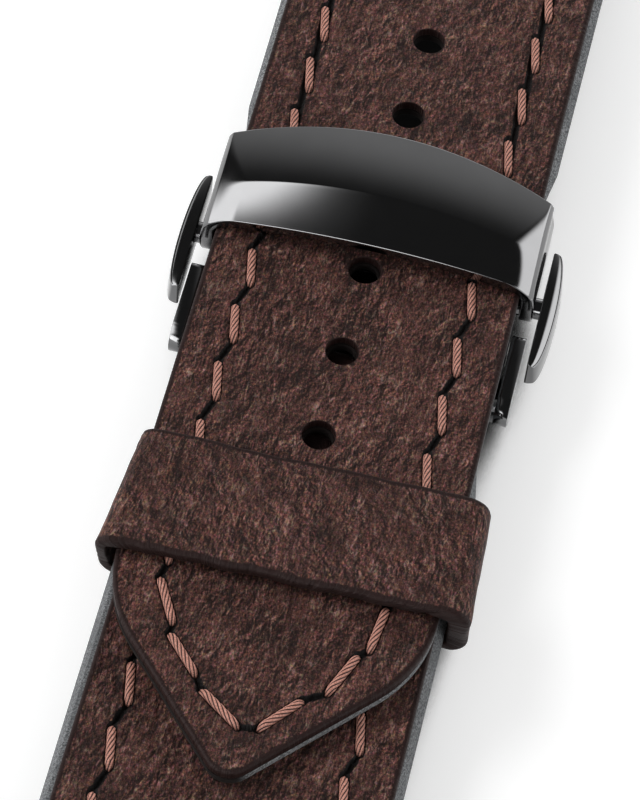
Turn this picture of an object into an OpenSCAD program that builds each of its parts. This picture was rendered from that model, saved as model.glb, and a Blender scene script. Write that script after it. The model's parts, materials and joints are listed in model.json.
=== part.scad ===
// Leather watch strap with a folding push-button clasp, closed and lying outer side up.
// The strap runs along Y: the long, holed half to +Y and the short half to -Y.

/* [Leather] */
// Width of the holed tail where it passes through the clasp
tail_w = 19.9; // [18:0.1:22]
// Width of both halves at the watch lugs
lug_w = 21.9; // [20:0.1:24]
// Thickness of the outer leather
outer_t = 0.7; // [0.6:0.1:1.2]
// Thickness of the lining
lining_t = 0.6; // [0.5:0.1:1]
// How far the bevelled lining stands out beside the outer leather
bevel = 0.5; // [0.2:0.05:0.8]
// Thickness of both padded halves at the lugs
pad_t = 4.0; // [3.4:0.1:5]

/* [Long half] */
// Distance from the clasp post to the lug bar
long_len = 75; // [66:1:90]
// Distance from the clasp post to the tip of the tail
tip_len = 43.8; // [42:0.1:48]
// Radius of the curve where the sides turn in towards the tip
tip_side_r = 9; // [6:0.5:12]
// Angle between the flanks of the tip and the strap's length, in degrees
tip_angle = 43; // [38:1:50]
// Radius of the rounded point
tip_nose_r = 1.6; // [1:0.1:3]
// Diameter of the adjustment holes
hole_d = 2.1; // [1.9:0.1:2.6]
// Distance from hole to hole
hole_pitch = 6.5; // [6:0.1:7]
// Holes on each side of the one in use
holes_each_side = 3; // [1:1:3]
// Length beyond the post that stays level before the strap turns down
long_flat = 16; // [14:1:20]
// Length over which the strap comes down to the table
long_drop = 42; // [36:1:46]

/* [Short half] */
// Distance from the clasp bar to the lug bar
short_len = 68; // [64:1:80]
// Thickness of the short half at the clasp
short_t = 2.2; // [2.1:0.1:3]
// Length from the clasp bar that stays level
short_flat = 38; // [37:1:40]
// Length over which the short half comes down to the table
short_drop = 26; // [22:1:26]

/* [Keeper] */
// Width of the keeper, along the strap
keeper_l = 9; // [7:0.5:11]
// Thickness of the keeper's leather
keeper_t = 0.8; // [0.6:0.05:1.1]
// Distance from the clasp post to the middle of the keeper
keeper_y = 26.9; // [25.9:0.1:28]
// Gap between the keeper and the leather inside it
keeper_gap = 0.12; // [0.1:0.01:0.3]

/* [Clasp cover] */
// Length of the cover along the strap, at its ends
cover_l = 7; // [6:0.1:8]
// Bulge of the cover's back edge at the middle
cover_bulge = 1; // [0.5:0.1:1.5]
// Distance from the cover's front edge to the crease along its top
crease_l = 2.6; // [2:0.1:4]
// Fall of the cover's front face from the crease to the edge
front_fall = 1.9; // [0.8:0.1:2]
// Fall of the cover's curved back face from the crease to the edge
back_fall = 0.5; // [0.2:0.1:0.8]
// Height of the cover's arch above the tail
cover_rise = 3.7; // [3.4:0.1:4]
// Height of the opening under the arch, above the tail
arch_rise = 1.2; // [1:0.1:1.3]
// Fall of the arch from the middle of the cover to its sides
arch_fall = 2.5; // [2.2:0.1:2.8]
// Height of the cover's ends above the tail, at the foot of their sloping facets
cover_end_rise = 0.3; // [0.3:0.1:0.8]
// Thickness of the cover's cheeks and of the blade's arms
cheek_t = 0.9; // [0.8:0.05:1.1]
// Side gap between the leather and the cheeks
side_gap = 0.15; // [0.1:0.01:0.3]
// Thickness of the plate under the tail
plate_t = 0.8; // [0.6:0.1:1]
// Diameter of the post that holds the tail
post_d = 1.8; // [1.6:0.1:1.8]

/* [Push buttons] */
// Length of each half-moon button
button_l = 9.2; // [8:0.1:9.4]
// Bulge of the button's outer curve
button_bulge = 1.2; // [1:0.1:1.6]
// Height of the button
button_h = 2.2; // [1.8:0.1:2.4]
// How far a button travels
button_travel = 0.35; // [0.2:0.05:0.5]
// Diameter of the button's rod
rod_d = 1.4; // [1.2:0.1:1.5]
// Side width of the latch hook's plate
hook_t = 1; // [0.8:0.1:1]
// Gap between the latch hook's nose and the arm
hook_gap = 0.1; // [0.08:0.01:0.15]

/* [Blades] */
// Distance between the clasp's two hinges
blade_span = 35.5; // [34:0.5:38]
// Rise of the curved blades between their hinges
blade_rise = 1.75; // [1.5:0.05:2.2]
// Thickness of the blades
blade_t = 0.9; // [0.8:0.05:1]
// Width of the lower blade's frame
lower_w = 15; // [14:0.5:16]
// Width of the upper blade, which nests in the frame
upper_w = 10; // [9:0.5:10]
// Side gap between the nested blades
blade_gap = 0.2; // [0.15:0.05:0.3]
// Diameter of the hinge barrels
barrel_d = 2.2; // [2.1:0.1:2.4]
// Diameter of the hinge pins
pin_d = 1; // [0.8:0.1:1.1]
// Radial clearance of a turning or sliding shaft
run_gap = 0.05; // [0.03:0.01:0.08]
// Distance from the clasp post to the cover's hinge
cover_hinge_y = 4.5; // [4.3:0.1:5]
// Distance from the clasp post to the short half's bar
clasp_bar_y = 12.6; // [12.4:0.1:13]
// Radius of the arms round the clasp bar
arm_r = 1.2; // [1.1:0.05:1.5]

/* [Spring bars] */
// Outer diameter of the tubes
tube_d = 1.5; // [1.4:0.1:1.5]
// Bore of the tubes
tube_bore_d = 1; // [0.96:0.02:1.04]
// Diameter of the tips' noses
nose_d = 0.8; // [0.7:0.05:0.85]
// Length of a nose beyond the leather at the lugs
nose_l = 0.9; // [0.7:0.1:1]
// Thickness of the collar on each tip
collar_t = 0.6; // [0.5:0.1:0.7]
// Wire diameter of the springs
wire_d = 0.18; // [0.14:0.02:0.2]

/* [Stitching] */
// Distance of the seam from the leather's edge
seam_inset = 2.9; // [2.5:0.1:3.5]
// Distance from stitch to stitch
stitch_pitch = 4.45; // [3.6:0.05:5]
// Length of one stitch on the surface
stitch_l = 2.8; // [2:0.1:3.2]
// Width of the thread
thread_w = 0.7; // [0.5:0.05:0.9]
// Height of the thread above the leather
thread_h = 0.25; // [0.15:0.05:0.4]
// Turn of each stitch away from the seam, in degrees
stitch_turn = 11; // [0:1:20]

/* [Hidden] */

$fn = 64;
leather = "saddlebrown";
lining_grey = "dimgray";
metal = "#1c1c1f";
thread_pink = "rosybrown";
spring_steel = "silver";

// A gap that keeps two solids just apart, and an overlap for cutting tools
skin = 0.01;
cut = 1;

// Heights, counted from the table
barrel_r = barrel_d / 2;
blade_top = barrel_r + blade_rise + blade_t / 2;
// The cross bar of the arms lies over the lower blade, and the short half over the bar
over_gap = 0.15;
cross_t = 0.9;
cross_low = blade_top + over_gap;
cross_top = cross_low + cross_t;
strap_gap = 0.4;
short_low = cross_top + strap_gap;
clasp_bar_z = short_low + short_t / 2;
short_top = short_low + short_t;
// A stitch lies this far over the crowned leather, whose sections are joined by flat faces
stitch_lift = 0.07;
// The tail lies on the short half's seams
tail_gap = stitch_lift + thread_h + 0.02;
tail_low = short_top + tail_gap;
tail_t = outer_t + lining_t;
tail_top = tail_low + tail_t;
lug_bar_z = pad_t / 2;
plate_low = tail_low - plate_t;

// Places along the strap, counted from the post
long_bar_y = long_len;
short_bar_y = -clasp_bar_y - short_len;
fold_y = cover_hinge_y - blade_span;
// The origin is under the middle of the strap's length
middle_y = (long_bar_y + short_bar_y) / 2;

// Half widths
tail_hw = tail_w / 2;
lug_hw = lug_w / 2;
cheek_in = tail_hw + side_gap;
cheek_out = cheek_in + cheek_t;
// The short half is narrow between the arms and full beyond them
short_neck_hw = cheek_in - 0.4;
short_hw = tail_hw + bevel - 0.05;
neck_end = clasp_bar_y + 3.4;
neck_run = 4;
// The long half widens beyond the cover
wide_start = 2.2;
wide_run = 3;
lug_run = 12;

// Where the tail's own leather begins, under the cover's front edge
split_y = -2.4;
cover_mid_y = -2.4;

// Push buttons: their rods run across the housing
rod_y = -4.4;
rod_z = plate_low - rod_d / 2 - 0.1;
rod_r = rod_d / 2;
rod_end = 3;
button_in = cheek_out + button_travel + 0.05;
button_mid_y = -5;
button_r = (pow(button_l / 2, 2) + pow(button_bulge, 2)) / (2 * button_bulge);
hook_out = cheek_in - hook_gap;
hook_plate_out = hook_out - 0.25;
hook_plate_in = hook_plate_out - hook_t;
housing_hw = hook_plate_in - button_travel - 0.3;
hook_front = -8.9;
nose_run = 1;

// Arms of the upper blade
arm_back = -7.6;
notch_deep = 0.5;

// Blades
blade_mid_y = (cover_hinge_y + fold_y) / 2;
blade_r = pow(blade_span / 2, 2) / (2 * blade_rise) + blade_rise / 2;
blade_mid_z = barrel_r + blade_rise - blade_r;
upper_hw = upper_w / 2;
lower_hw = lower_w / 2;
window_hw = upper_hw + blade_gap;
neck_hw = 6.1;
lug_in = neck_hw + 0.15;
lug_out = lug_in + 1.4;

// A rise from 0 to 1 with level ends
function smooth(t) = t <= 0 ? 0 : t >= 1 ? 1 : (1 - cos(180 * t)) / 2;
// The cushion across a padded half, 1 at the middle and 0 at the edges
function crown(u) = 1 - pow(abs(u), 3);

// Long half: underside, thickness at the middle and at the edges, half widths
long_pad_start = 17;
long_pad_run = 30;
function long_low(y) = tail_low * (1 - smooth((y - long_flat) / long_drop));
function long_t(y) = tail_t + (pad_t - tail_t) * smooth((y - long_pad_start) / long_pad_run);
function long_edge_t(y) = tail_t + (pad_t - tail_t) * smooth((y - long_bar_y + lug_run) / lug_run);
function long_lining_hw(y) = y < wide_start ? tail_hw
    : y < wide_start + wide_run ? tail_hw + bevel * (y - wide_start) / wide_run
    : tail_hw + bevel + (lug_hw - tail_hw - bevel)
        * (y - wide_start - wide_run) / (long_bar_y - wide_start - wide_run);
function long_outer_hw(y) = y < wide_start ? tail_hw
    : tail_hw + (lug_hw - tail_hw) * pow((y - wide_start) / (long_bar_y - wide_start), 2);
function long_top(x, y) = long_low(y) + long_edge_t(y)
    + max(0, long_t(y) - long_edge_t(y)) * crown(x / long_outer_hw(y));

// Short half, the same, with y negative
short_pad_start = 37;
short_pad_run = 24;
function down(y) = -y - clasp_bar_y;
function short_low_at(y) = short_low * (1 - smooth((down(y) - short_flat) / short_drop));
function short_t_at(y) = short_t
    + (pad_t - short_t) * smooth((down(y) - short_pad_start) / short_pad_run);
function short_edge_t(y) = short_t
    + (pad_t - short_t) * smooth((down(y) - short_len + lug_run) / lug_run);
function short_taper(y) = max(0, (down(y) - short_flat) / (short_len - short_flat));
function short_lining_hw(y) = -y < neck_end ? short_neck_hw
    : -y < neck_end + neck_run ? short_neck_hw + (short_hw - short_neck_hw) * (-y - neck_end) / neck_run
    : short_hw + (lug_hw - short_hw) * short_taper(y);
function short_outer_hw(y) = -y < neck_end ? short_neck_hw - bevel / 2
    : -y < neck_end + neck_run
        ? short_neck_hw - bevel / 2
            + (short_hw - bevel - short_neck_hw + bevel / 2) * (-y - neck_end) / neck_run
    : short_hw - bevel + (lug_hw - short_hw + bevel) * pow(short_taper(y), 2);
function short_top_at(x, y) = short_low_at(y) + short_edge_t(y)
    + max(0, short_t_at(y) - short_edge_t(y)) * crown(x / short_outer_hw(y));
short_outer_t = short_t / 2;
short_lining_t = short_t / 2;

// How far the padding's sides stay inside the outer leather, and its top under it
padding_inset = 1.1;
padding_gap = 0.06;

function steps(from, to, n) = [for (i = [0:n]) from + (to - from) * i / n];

// The whole strap stands with its middle over the origin
module place() {
    translate([0, -middle_y, 0]) children();
}

// A shape drawn in the Y-Z plane, drawn out along X
module across(width) {
    rotate([90, 0, 90]) linear_extrude(width, center = true) children();
}

// A cylinder along X
module rod(r, from, to) {
    translate([from, 0, 0]) rotate([0, 90, 0]) cylinder(h = to - from, r = r);
}

// A box from one corner to the other
module block(low, high) {
    translate(low) cube(high - low);
}

// A strip of leather: its sections across the strap lie at ys, each as wide as hw(y),
// between the heights low(x, y) and high(x, y), with n points from side to side
module strip(ys, hw, low, high, n) {
    count = len(ys);
    xs = function(y) [for (j = [0:n - 1]) hw(y) * (2 * j / (n - 1) - 1)];
    points = [for (y = ys) each concat(
        [for (x = xs(y)) [x, y, high(x, y)]],
        [for (j = [0:n - 1]) let(x = xs(y)[n - 1 - j]) [x, y, low(x, y)]])];
    ring = 2 * n;
    sides = [for (i = [0:count - 2], j = [0:ring - 1])
        let(a = i * ring + j, b = i * ring + (j + 1) % ring, c = b + ring, d = a + ring)
        each [[a, b, c], [a, c, d]]];
    front = [for (j = [0:n - 2]) each [
        [j, ring - 1 - j, ring - 2 - j], [j, ring - 2 - j, j + 1]]];
    last = (count - 1) * ring;
    back = [for (t = front) [last + t[0], last + t[2], last + t[1]]];
    turned = ys[0] < ys[1];
    faces = concat(sides, front, back);
    polyhedron(points, turned ? [for (f = faces) [f[0], f[2], f[1]]] : faces, convexity = 4);
}

// The places of the long half's holes, counted from the post
function hole_places(from, to) = [for (i = [from:to]) i * hole_pitch];

module holes(from, to) {
    for (y = hole_places(from, to)) {
        translate([0, y, -cut]) cylinder(h = tail_top + 2 * cut, d = hole_d);
    }
}

// Points across the crowned leather
across_n = 13;

// Section places: few where the leather is level, many where it bends
long_bend = steps(long_flat, long_bar_y, 20);
long_ys = concat([split_y, wide_start, wide_start + wide_run], long_bend);
long_pad_ys = [for (y = long_bend) if (y > long_pad_start + 10) y];
short_bend = [for (s = steps(short_pad_start, short_len, 14)) -clasp_bar_y - s];
short_ys = concat([-clasp_bar_y, -neck_end, -neck_end - neck_run], short_bend);
short_pad_ys = [for (y = short_bend) if (down(y) > short_pad_start + 8) y];

// Half cylinder of leather folded round a bar at (y, z), on the side that side points to
module fold_nose(y, z, r, half_width, side) {
    intersection() {
        translate([0, y, z]) rod(r, -half_width, half_width);
        block([-half_width - cut, min(y, y + side * 2 * r), z - 2 * r],
            [half_width + cut, max(y, y + side * 2 * r), z + 2 * r]);
    }
}

module bar_bore(y, z) {
    translate([0, y, z]) rod(tube_d / 2 + 0.1, -lug_hw - cut, lug_hw + cut);
}

module long_outer() {
    color(leather) place() difference() {
        union() {
            strip(long_ys, function(y) long_outer_hw(y),
                function(x, y) long_top(x, y) - outer_t, function(x, y) long_top(x, y), across_n);
            fold_nose(long_bar_y, lug_bar_z, lug_bar_z, lug_hw, 1);
        }
        holes(0, holes_each_side);
        bar_bore(long_bar_y, lug_bar_z);
    }
}

module long_lining() {
    color(lining_grey) place() difference() {
        strip(long_ys, function(y) long_lining_hw(y),
            function(x, y) long_low(y), function(x, y) long_low(y) + lining_t, 2);
        holes(0, holes_each_side);
    }
}

module long_padding() {
    color(leather) place() difference() {
        strip(long_pad_ys, function(y) long_outer_hw(y) - padding_inset,
            function(x, y) long_low(y) + lining_t + skin,
            function(x, y) long_top(x, y) - outer_t - padding_gap, across_n);
        bar_bore(long_bar_y, lug_bar_z);
    }
}

// Side of the pointed tip: curve, straight flank and rounded point
nose_mid_y = -tip_len + tip_nose_r;
flank_x = tail_hw - tip_side_r * (1 - cos(tip_angle));
flank_l = (flank_x - tip_nose_r * cos(tip_angle)) / sin(tip_angle);
flank_y = nose_mid_y - tip_nose_r * sin(tip_angle) + flank_l * cos(tip_angle);
curve_y = flank_y + tip_side_r * sin(tip_angle);
tip_side = concat(
    [for (a = steps(0, tip_angle, 8))
        [tail_hw - tip_side_r * (1 - cos(a)), curve_y - tip_side_r * sin(a)]],
    [for (a = steps(tip_angle, 90, 5))
        [tip_nose_r * cos(a), nose_mid_y - tip_nose_r * sin(a)]]);

module tail_layer(low, high) {
    left = [for (i = [len(tip_side) - 2:-1:0]) [-tip_side[i][0], tip_side[i][1]]];
    difference() {
        translate([0, 0, low]) linear_extrude(high - low)
            polygon(concat([[-tail_hw, split_y], [tail_hw, split_y]], tip_side, left));
        holes(-holes_each_side, -1);
    }
}

module tail_outer() {
    color(leather) place() tail_layer(tail_low + lining_t, tail_top);
}

module tail_lining() {
    color(lining_grey) place() tail_layer(tail_low, tail_low + lining_t);
}

module short_outer() {
    color(leather) place() difference() {
        union() {
            strip(short_ys, function(y) short_outer_hw(y),
                function(x, y) short_top_at(x, y) - short_outer_t,
                function(x, y) short_top_at(x, y), across_n);
            fold_nose(short_bar_y, lug_bar_z, lug_bar_z, lug_hw, -1);
            fold_nose(-clasp_bar_y, clasp_bar_z, short_t / 2, short_outer_hw(-clasp_bar_y), 1);
        }
        bar_bore(short_bar_y, lug_bar_z);
        bar_bore(-clasp_bar_y, clasp_bar_z);
    }
}

module short_lining() {
    color(lining_grey) place() difference() {
        strip(short_ys, function(y) short_lining_hw(y),
            function(x, y) short_low_at(y), function(x, y) short_low_at(y) + short_lining_t, 2);
        bar_bore(short_bar_y, lug_bar_z);
        bar_bore(-clasp_bar_y, clasp_bar_z);
    }
}

module short_padding() {
    color(leather) place() difference() {
        strip(short_pad_ys, function(y) short_outer_hw(y) - padding_inset,
            function(x, y) short_low_at(y) + short_lining_t + skin,
            function(x, y) short_top_at(x, y) - short_outer_t - padding_gap, across_n);
        bar_bore(short_bar_y, lug_bar_z);
    }
}

// One stitch of raised thread, lying along Y
module stitch() {
    rotate([90, 0, 0]) linear_extrude(stitch_l, center = true)
        polygon([[-thread_w / 2, 0], [thread_w / 2, 0],
            [thread_w / 3, thread_h], [-thread_w / 3, thread_h]]);
}

// A seam of stitches at the places ys, x(y) from the middle, lying on the surface top(x, y)
module seam(ys, x, top) {
    for (y = ys, side = [-1, 1]) {
        here = side * x(y);
        dy = stitch_l / 2;
        before = top(here, y - dy);
        after = top(here, y + dy);
        tilt = atan2(top(here - thread_w, y) - top(here + thread_w, y), 2 * thread_w);
        translate([here, y, max(top(here, y), (before + after) / 2) + stitch_lift])
            rotate([atan2(after - before, 2 * dy), tilt, stitch_turn]) stitch();
    }
}

module long_stitching() {
    first = cover_mid_y + cover_l / 2 + cover_bulge + stitch_l / 2;
    last = long_bar_y - 2 * lug_bar_z;
    color(thread_pink) place() seam([for (y = [first:stitch_pitch:last]) y],
        function(y) long_outer_hw(y) - seam_inset, function(x, y) long_top(x, y));
}

module tail_stitching() {
    first = cover_front - cover_bulge - stitch_l / 2;
    color(thread_pink) place() {
        seam([for (y = [first:-stitch_pitch:curve_y]) y],
            function(y) tail_hw - seam_inset, function(x, y) tail_top);
        // The seam turns with the tip's flanks
        flank_seam_x = flank_x - seam_inset * cos(tip_angle);
        flank_seam_y = flank_y + seam_inset * sin(tip_angle);
        flank_seam_l = flank_seam_x / sin(tip_angle);
        for (side = [-1, 1], s = [stitch_l / 2:stitch_pitch:flank_seam_l - stitch_l / 2]) {
            translate([side * (flank_seam_x - s * sin(tip_angle)),
                    flank_seam_y - s * cos(tip_angle), tail_top + skin])
                rotate([0, 0, -side * tip_angle]) stitch();
        }
    }
}

module short_stitching() {
    // The seam shows from the keeper to the lugs
    first = neck_end + neck_run;
    last = clasp_bar_y + short_len - 2 * lug_bar_z;
    shown = [for (y = [first:stitch_pitch:last]) if (y - stitch_l > keeper_y + keeper_l / 2 + 3) -y];
    color(thread_pink) place() seam(shown,
        function(y) short_outer_hw(y) - seam_inset, function(x, y) short_top_at(x, y));
}

// Keeper: a band round both halves
keeper_in_hw = short_hw + keeper_gap;
keeper_in_low = short_low - keeper_gap;
keeper_in_top = tail_top + thread_h + keeper_gap;
keeper_in_r = 0.4;

module round_rect(low, high, r) {
    translate(low + [r, 0]) square(high - low - [2 * r, 0]);
    translate(low + [0, r]) square(high - low - [0, 2 * r]);
    for (x = [low[0] + r, high[0] - r], y = [low[1] + r, high[1] - r]) {
        translate([x, y]) circle(r);
    }
}

module keeper_loop() {
    t = keeper_t;
    color(leather) place() translate([0, -keeper_y + keeper_l / 2, 0])
        rotate([90, 0, 0]) linear_extrude(keeper_l) difference() {
            round_rect([-keeper_in_hw - t, keeper_in_low - t], [keeper_in_hw + t, keeper_in_top + t],
                keeper_in_r + t);
            round_rect([-keeper_in_hw, keeper_in_low], [keeper_in_hw, keeper_in_top], keeper_in_r);
        }
}

// Wire staple that closes the keeper's ends on the underside
module keeper_staple() {
    wire = 0.2;
    half = 2;
    color(metal) place() for (y = [-keeper_y - keeper_l / 4, -keeper_y + keeper_l / 4]) {
        block([-half, y - wire, keeper_in_low - keeper_t - wire],
            [half, y + wire, keeper_in_low - keeper_t]);
    }
}

// Cover: an arched bar with a crease along it and a sloping facet at each end, whose ends turn
// down as cheeks beside the strap
arch_top = tail_top + cover_rise;
facet_foot = tail_top + cover_end_rise;
inner_end = tail_top + 0.1;
inner_top = tail_top + arch_rise;
inner_r = (pow(cheek_in, 2) + pow(inner_top - inner_end, 2)) / (2 * (inner_top - inner_end));
edge_r = (pow(cheek_out, 2) + pow(cover_bulge, 2)) / (2 * cover_bulge);
cover_front = cover_mid_y - cover_l / 2;
cover_back = cover_mid_y + cover_l / 2;
crease_y = cover_front + crease_l;
cover_ys = concat([cover_front, crease_y], steps(crease_y + 1, cover_back + cover_bulge, 4));
function arch_z(x) = arch_top - arch_fall * pow(x / cheek_out, 2);
// The front face is flat along its edge, so it falls less towards the sides
function cover_fall(x, y) = y < crease_y
    ? front_fall * (crease_y - y) / crease_l * (1 - 0.8 * pow(x / cheek_out, 2))
    : back_fall * pow((y - crease_y) / (cover_back + cover_bulge - crease_y), 2);
// The facets at both ends slope down at 45 degrees
function cover_z(x, y) = min(arch_z(x) - cover_fall(x, y), facet_foot + cheek_out - abs(x));

module buckle_cover() {
    $fn = 96;
    color(metal) place() difference() {
        union() {
            intersection() {
                strip(cover_ys, function(y) cheek_out, function(x, y) tail_low,
                    function(x, y) cover_z(x, y), 33);
                // Seen from above, the back edge bulges at the middle
                translate([0, cover_back + cover_bulge - edge_r, 0])
                    cylinder(h = arch_top + cut, r = edge_r);
            }
            across(2 * cheek_out) intersection() {
                translate([cover_mid_y, tail_low]) circle(cover_l / 2);
                translate([cover_front, 0]) square([cover_l, tail_low + skin]);
            }
        }
        // The opening under the arch, for the strap
        translate([0, cover_back + cover_bulge + cut, 0]) rotate([90, 0, 0])
            linear_extrude(cover_l + cover_bulge + 2 * cut) intersection() {
                translate([0, inner_top - inner_r]) circle(inner_r);
                translate([-cheek_in, 0]) square([2 * cheek_in, inner_top]);
            }
        translate([0, rod_y, rod_z]) rod(rod_r + run_gap, -cheek_out - cut, cheek_out + cut);
    }
}

// Plate under the tail, with the block that guides the rods and the lugs of the hinge
module latch_housing() {
    plate_front = cover_mid_y - cover_l / 2 + 0.2;
    plate_back = max(post_d / 2, cover_mid_y + cover_l / 2) + 0.6;
    block_low = rod_z - rod_r - 0.6;
    lug_front = plate_front + 3.6;
    color(metal) place() difference() {
        union() {
            block([-cheek_in, plate_front, plate_low], [cheek_in, plate_back, tail_low]);
            block([-housing_hw, plate_front, block_low], [housing_hw, rod_y + rod_r + 0.8, tail_low]);
            for (side = [-1, 1]) {
                translate([side * (lug_in + lug_out) / 2, 0, 0]) across(lug_out - lug_in) {
                    translate([cover_hinge_y, barrel_r]) circle(barrel_r);
                    polygon([[lug_front, plate_low], [cover_hinge_y - barrel_r * 0.75, barrel_r * 0.6],
                        [cover_hinge_y + barrel_r * 0.9, barrel_r * 1.2], [plate_back + 0.8, tail_low],
                        [lug_front, tail_low]]);
                }
            }
        }
        translate([0, cover_hinge_y, barrel_r]) rod(pin_d / 2, -lug_out - cut, lug_out + cut);
        translate([0, rod_y, rod_z]) rod(rod_r + run_gap, -cheek_in - cut, cheek_in + cut);
        translate([0, 0, plate_low - cut]) cylinder(h = tail_low, d = post_d);
    }
}

module strap_post() {
    color(metal) place() translate([0, 0, plate_low])
        cylinder(h = tail_top - plate_low - 0.1, d = post_d);
}

module buckle_hinge_pin() {
    color(metal) place() translate([0, cover_hinge_y, barrel_r]) rod(pin_d / 2, -lug_out, lug_out);
}

// Half-moon button, with its curved side outwards
module push_button(side) {
    round_r = 0.5;
    mirror([side < 0 ? 1 : 0, 0, 0]) translate([button_in + button_bulge - button_r, button_mid_y, rod_z])
        intersection() {
            rotate_extrude($fn = 128) {
                square([button_r - round_r, button_h / 2]);
                translate([0, -button_h / 2]) square([button_r - round_r, button_h / 2]);
                translate([button_r - round_r, -button_h / 2 + round_r])
                    square([round_r, button_h - 2 * round_r]);
                for (z = [-button_h / 2 + round_r, button_h / 2 - round_r]) {
                    translate([button_r - round_r, z]) circle(round_r, $fn = 32);
                }
            }
            block([button_r - button_bulge, -button_l, -button_h], [button_r + cut, button_l, button_h]);
        }
}

module push_button_left() {
    color(metal) place() push_button(-1);
}

module push_button_right() {
    color(metal) place() push_button(1);
}

module button_rod(side) {
    color(metal) place() mirror([side < 0 ? 1 : 0, 0, 0])
        translate([0, rod_y, rod_z]) rod(rod_r, rod_end, button_in);
}

module button_rod_left() {
    button_rod(-1);
}

module button_rod_right() {
    button_rod(1);
}

// Hook plate on the rod, whose nose faces the notch of the arm
module latch_hook(side) {
    half_h = rod_r + 0.05;
    color(metal) place() mirror([side < 0 ? 1 : 0, 0, 0]) difference() {
        union() {
            block([hook_plate_in, hook_front, rod_z - half_h],
                [hook_plate_out, rod_y + rod_r + 0.3, rod_z + half_h]);
            block([hook_plate_in, hook_front, rod_z - half_h],
                [hook_out, hook_front + nose_run, rod_z + half_h]);
        }
        translate([0, rod_y, rod_z]) rod(rod_r, hook_plate_in - cut, hook_plate_out + cut);
    }
}

module latch_hook_left() {
    latch_hook(-1);
}

module latch_hook_right() {
    latch_hook(1);
}

// Coil along X: wire of radius wire swept round an axis with rings of 8 and 6 sides
module coil(from, to, mean_r, turns) {
    around = 8;
    sides = 6;
    wire = wire_d / 2;
    count = turns * around;
    rings = [for (i = [0:count]) let(a = 360 * i / around, x = from + wire + (to - from - 2 * wire) * i / count)
        [for (k = [0:sides - 1]) let(b = 360 * k / sides)
            [x + wire * sin(b), (mean_r + wire * cos(b)) * cos(a), (mean_r + wire * cos(b)) * sin(a)]]];
    walls = [for (i = [0:count - 1], k = [0:sides - 1])
        let(p = i * sides + k, q = i * sides + (k + 1) % sides)
        each [[p, q, q + sides], [p, q + sides, p + sides]]];
    last = count * sides;
    caps = concat([for (k = [1:sides - 2]) [0, k + 1, k]], [for (k = [1:sides - 2]) [last, last + k, last + k + 1]]);
    polyhedron([for (ring = rings) each ring], concat(walls, caps), convexity = 6);
}

module button_spring() {
    color(spring_steel) place() translate([0, rod_y, rod_z])
        coil(-rod_end + skin, rod_end - skin, rod_r - wire_d, 6);
}

// The curved plate that both blades are cut from, between two places along the strap
module blade_plate(from, to, half_width) {
    across(2 * half_width) intersection() {
        difference() {
            translate([blade_mid_y, blade_mid_z]) circle(blade_r + blade_t / 2, $fn = 256);
            translate([blade_mid_y, blade_mid_z]) circle(blade_r - blade_t / 2, $fn = 256);
        }
        translate([from, 0]) square([to - from, blade_top + cut]);
    }
}

module barrel(y, half_width) {
    translate([0, y, barrel_r]) rod(barrel_r, -half_width, half_width);
}

module pin_bore(y, r, half_width) {
    translate([0, y, barrel_r]) rod(r, -half_width - cut, half_width + cut);
}

// Frame with an open window, in which the upper blade nests
module lower_blade() {
    frame_back = -0.8;
    window_back = -2.6;
    color(metal) place() difference() {
        union() {
            blade_plate(frame_back, cover_hinge_y, neck_hw);
            blade_plate(fold_y, frame_back, lower_hw);
            barrel(cover_hinge_y, neck_hw);
            barrel(fold_y, lower_hw);
        }
        block([-window_hw, fold_y - barrel_d, -cut], [window_hw, window_back, blade_top + cut]);
        pin_bore(cover_hinge_y, pin_d / 2 + run_gap, neck_hw);
        pin_bore(fold_y, pin_d / 2, lower_hw);
    }
}

module fold_hinge_pin() {
    color(metal) place() translate([0, fold_y, barrel_r]) rod(pin_d / 2, -lower_hw, lower_hw);
}

// Blade with the cross bar and the two arms that hold the clasp bar
module upper_blade() {
    blade_end = -clasp_bar_y + 3.2;
    cross_front = -clasp_bar_y - arm_r;
    // Each arm stands on a leg of the cross bar, behind the clasp bar
    leg_front = -clasp_bar_y + 0.3;
    color(metal) place() difference() {
        union() {
            blade_plate(fold_y, blade_end, upper_hw);
            barrel(fold_y, upper_hw);
            block([-upper_hw, cross_front, blade_top - blade_t / 2], [upper_hw, blade_end, cross_top]);
            block([-cheek_out, leg_front, cross_low], [cheek_out, blade_end, cross_top]);
            for (side = [-1, 1]) {
                translate([side * (cheek_in + cheek_out) / 2, 0, 0]) across(cheek_t) {
                    translate([-clasp_bar_y, clasp_bar_z]) circle(arm_r);
                    translate([-clasp_bar_y, clasp_bar_z - arm_r])
                        square([arm_back + clasp_bar_y - 0.5, 2 * arm_r]);
                    translate([-clasp_bar_y, clasp_bar_z - arm_r + 0.5])
                        square([arm_back + clasp_bar_y, 2 * arm_r - 1]);
                    for (z = [clasp_bar_z - arm_r + 0.5, clasp_bar_z + arm_r - 0.5]) {
                        translate([arm_back - 0.5, z]) circle(0.5, $fn = 32);
                    }
                    translate([leg_front, cross_low])
                        square([blade_end - leg_front, clasp_bar_z - cross_low]);
                }
            }
        }
        pin_bore(fold_y, pin_d / 2 + run_gap, upper_hw);
        translate([0, -clasp_bar_y, clasp_bar_z]) rod(nose_d / 2 + run_gap, -cheek_out - cut, cheek_out + cut);
        // Notches for the latch hooks, open below, so that the arms' tops rest on the hooks
        for (side = [-1, 1]) {
            translate([side * cheek_in, 0, 0]) across(2 * notch_deep)
                translate([arm_back - 1.6, cross_top + skin])
                    square([3.2, rod_z + rod_r + 0.25 - cross_top]);
        }
    }
}

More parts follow.
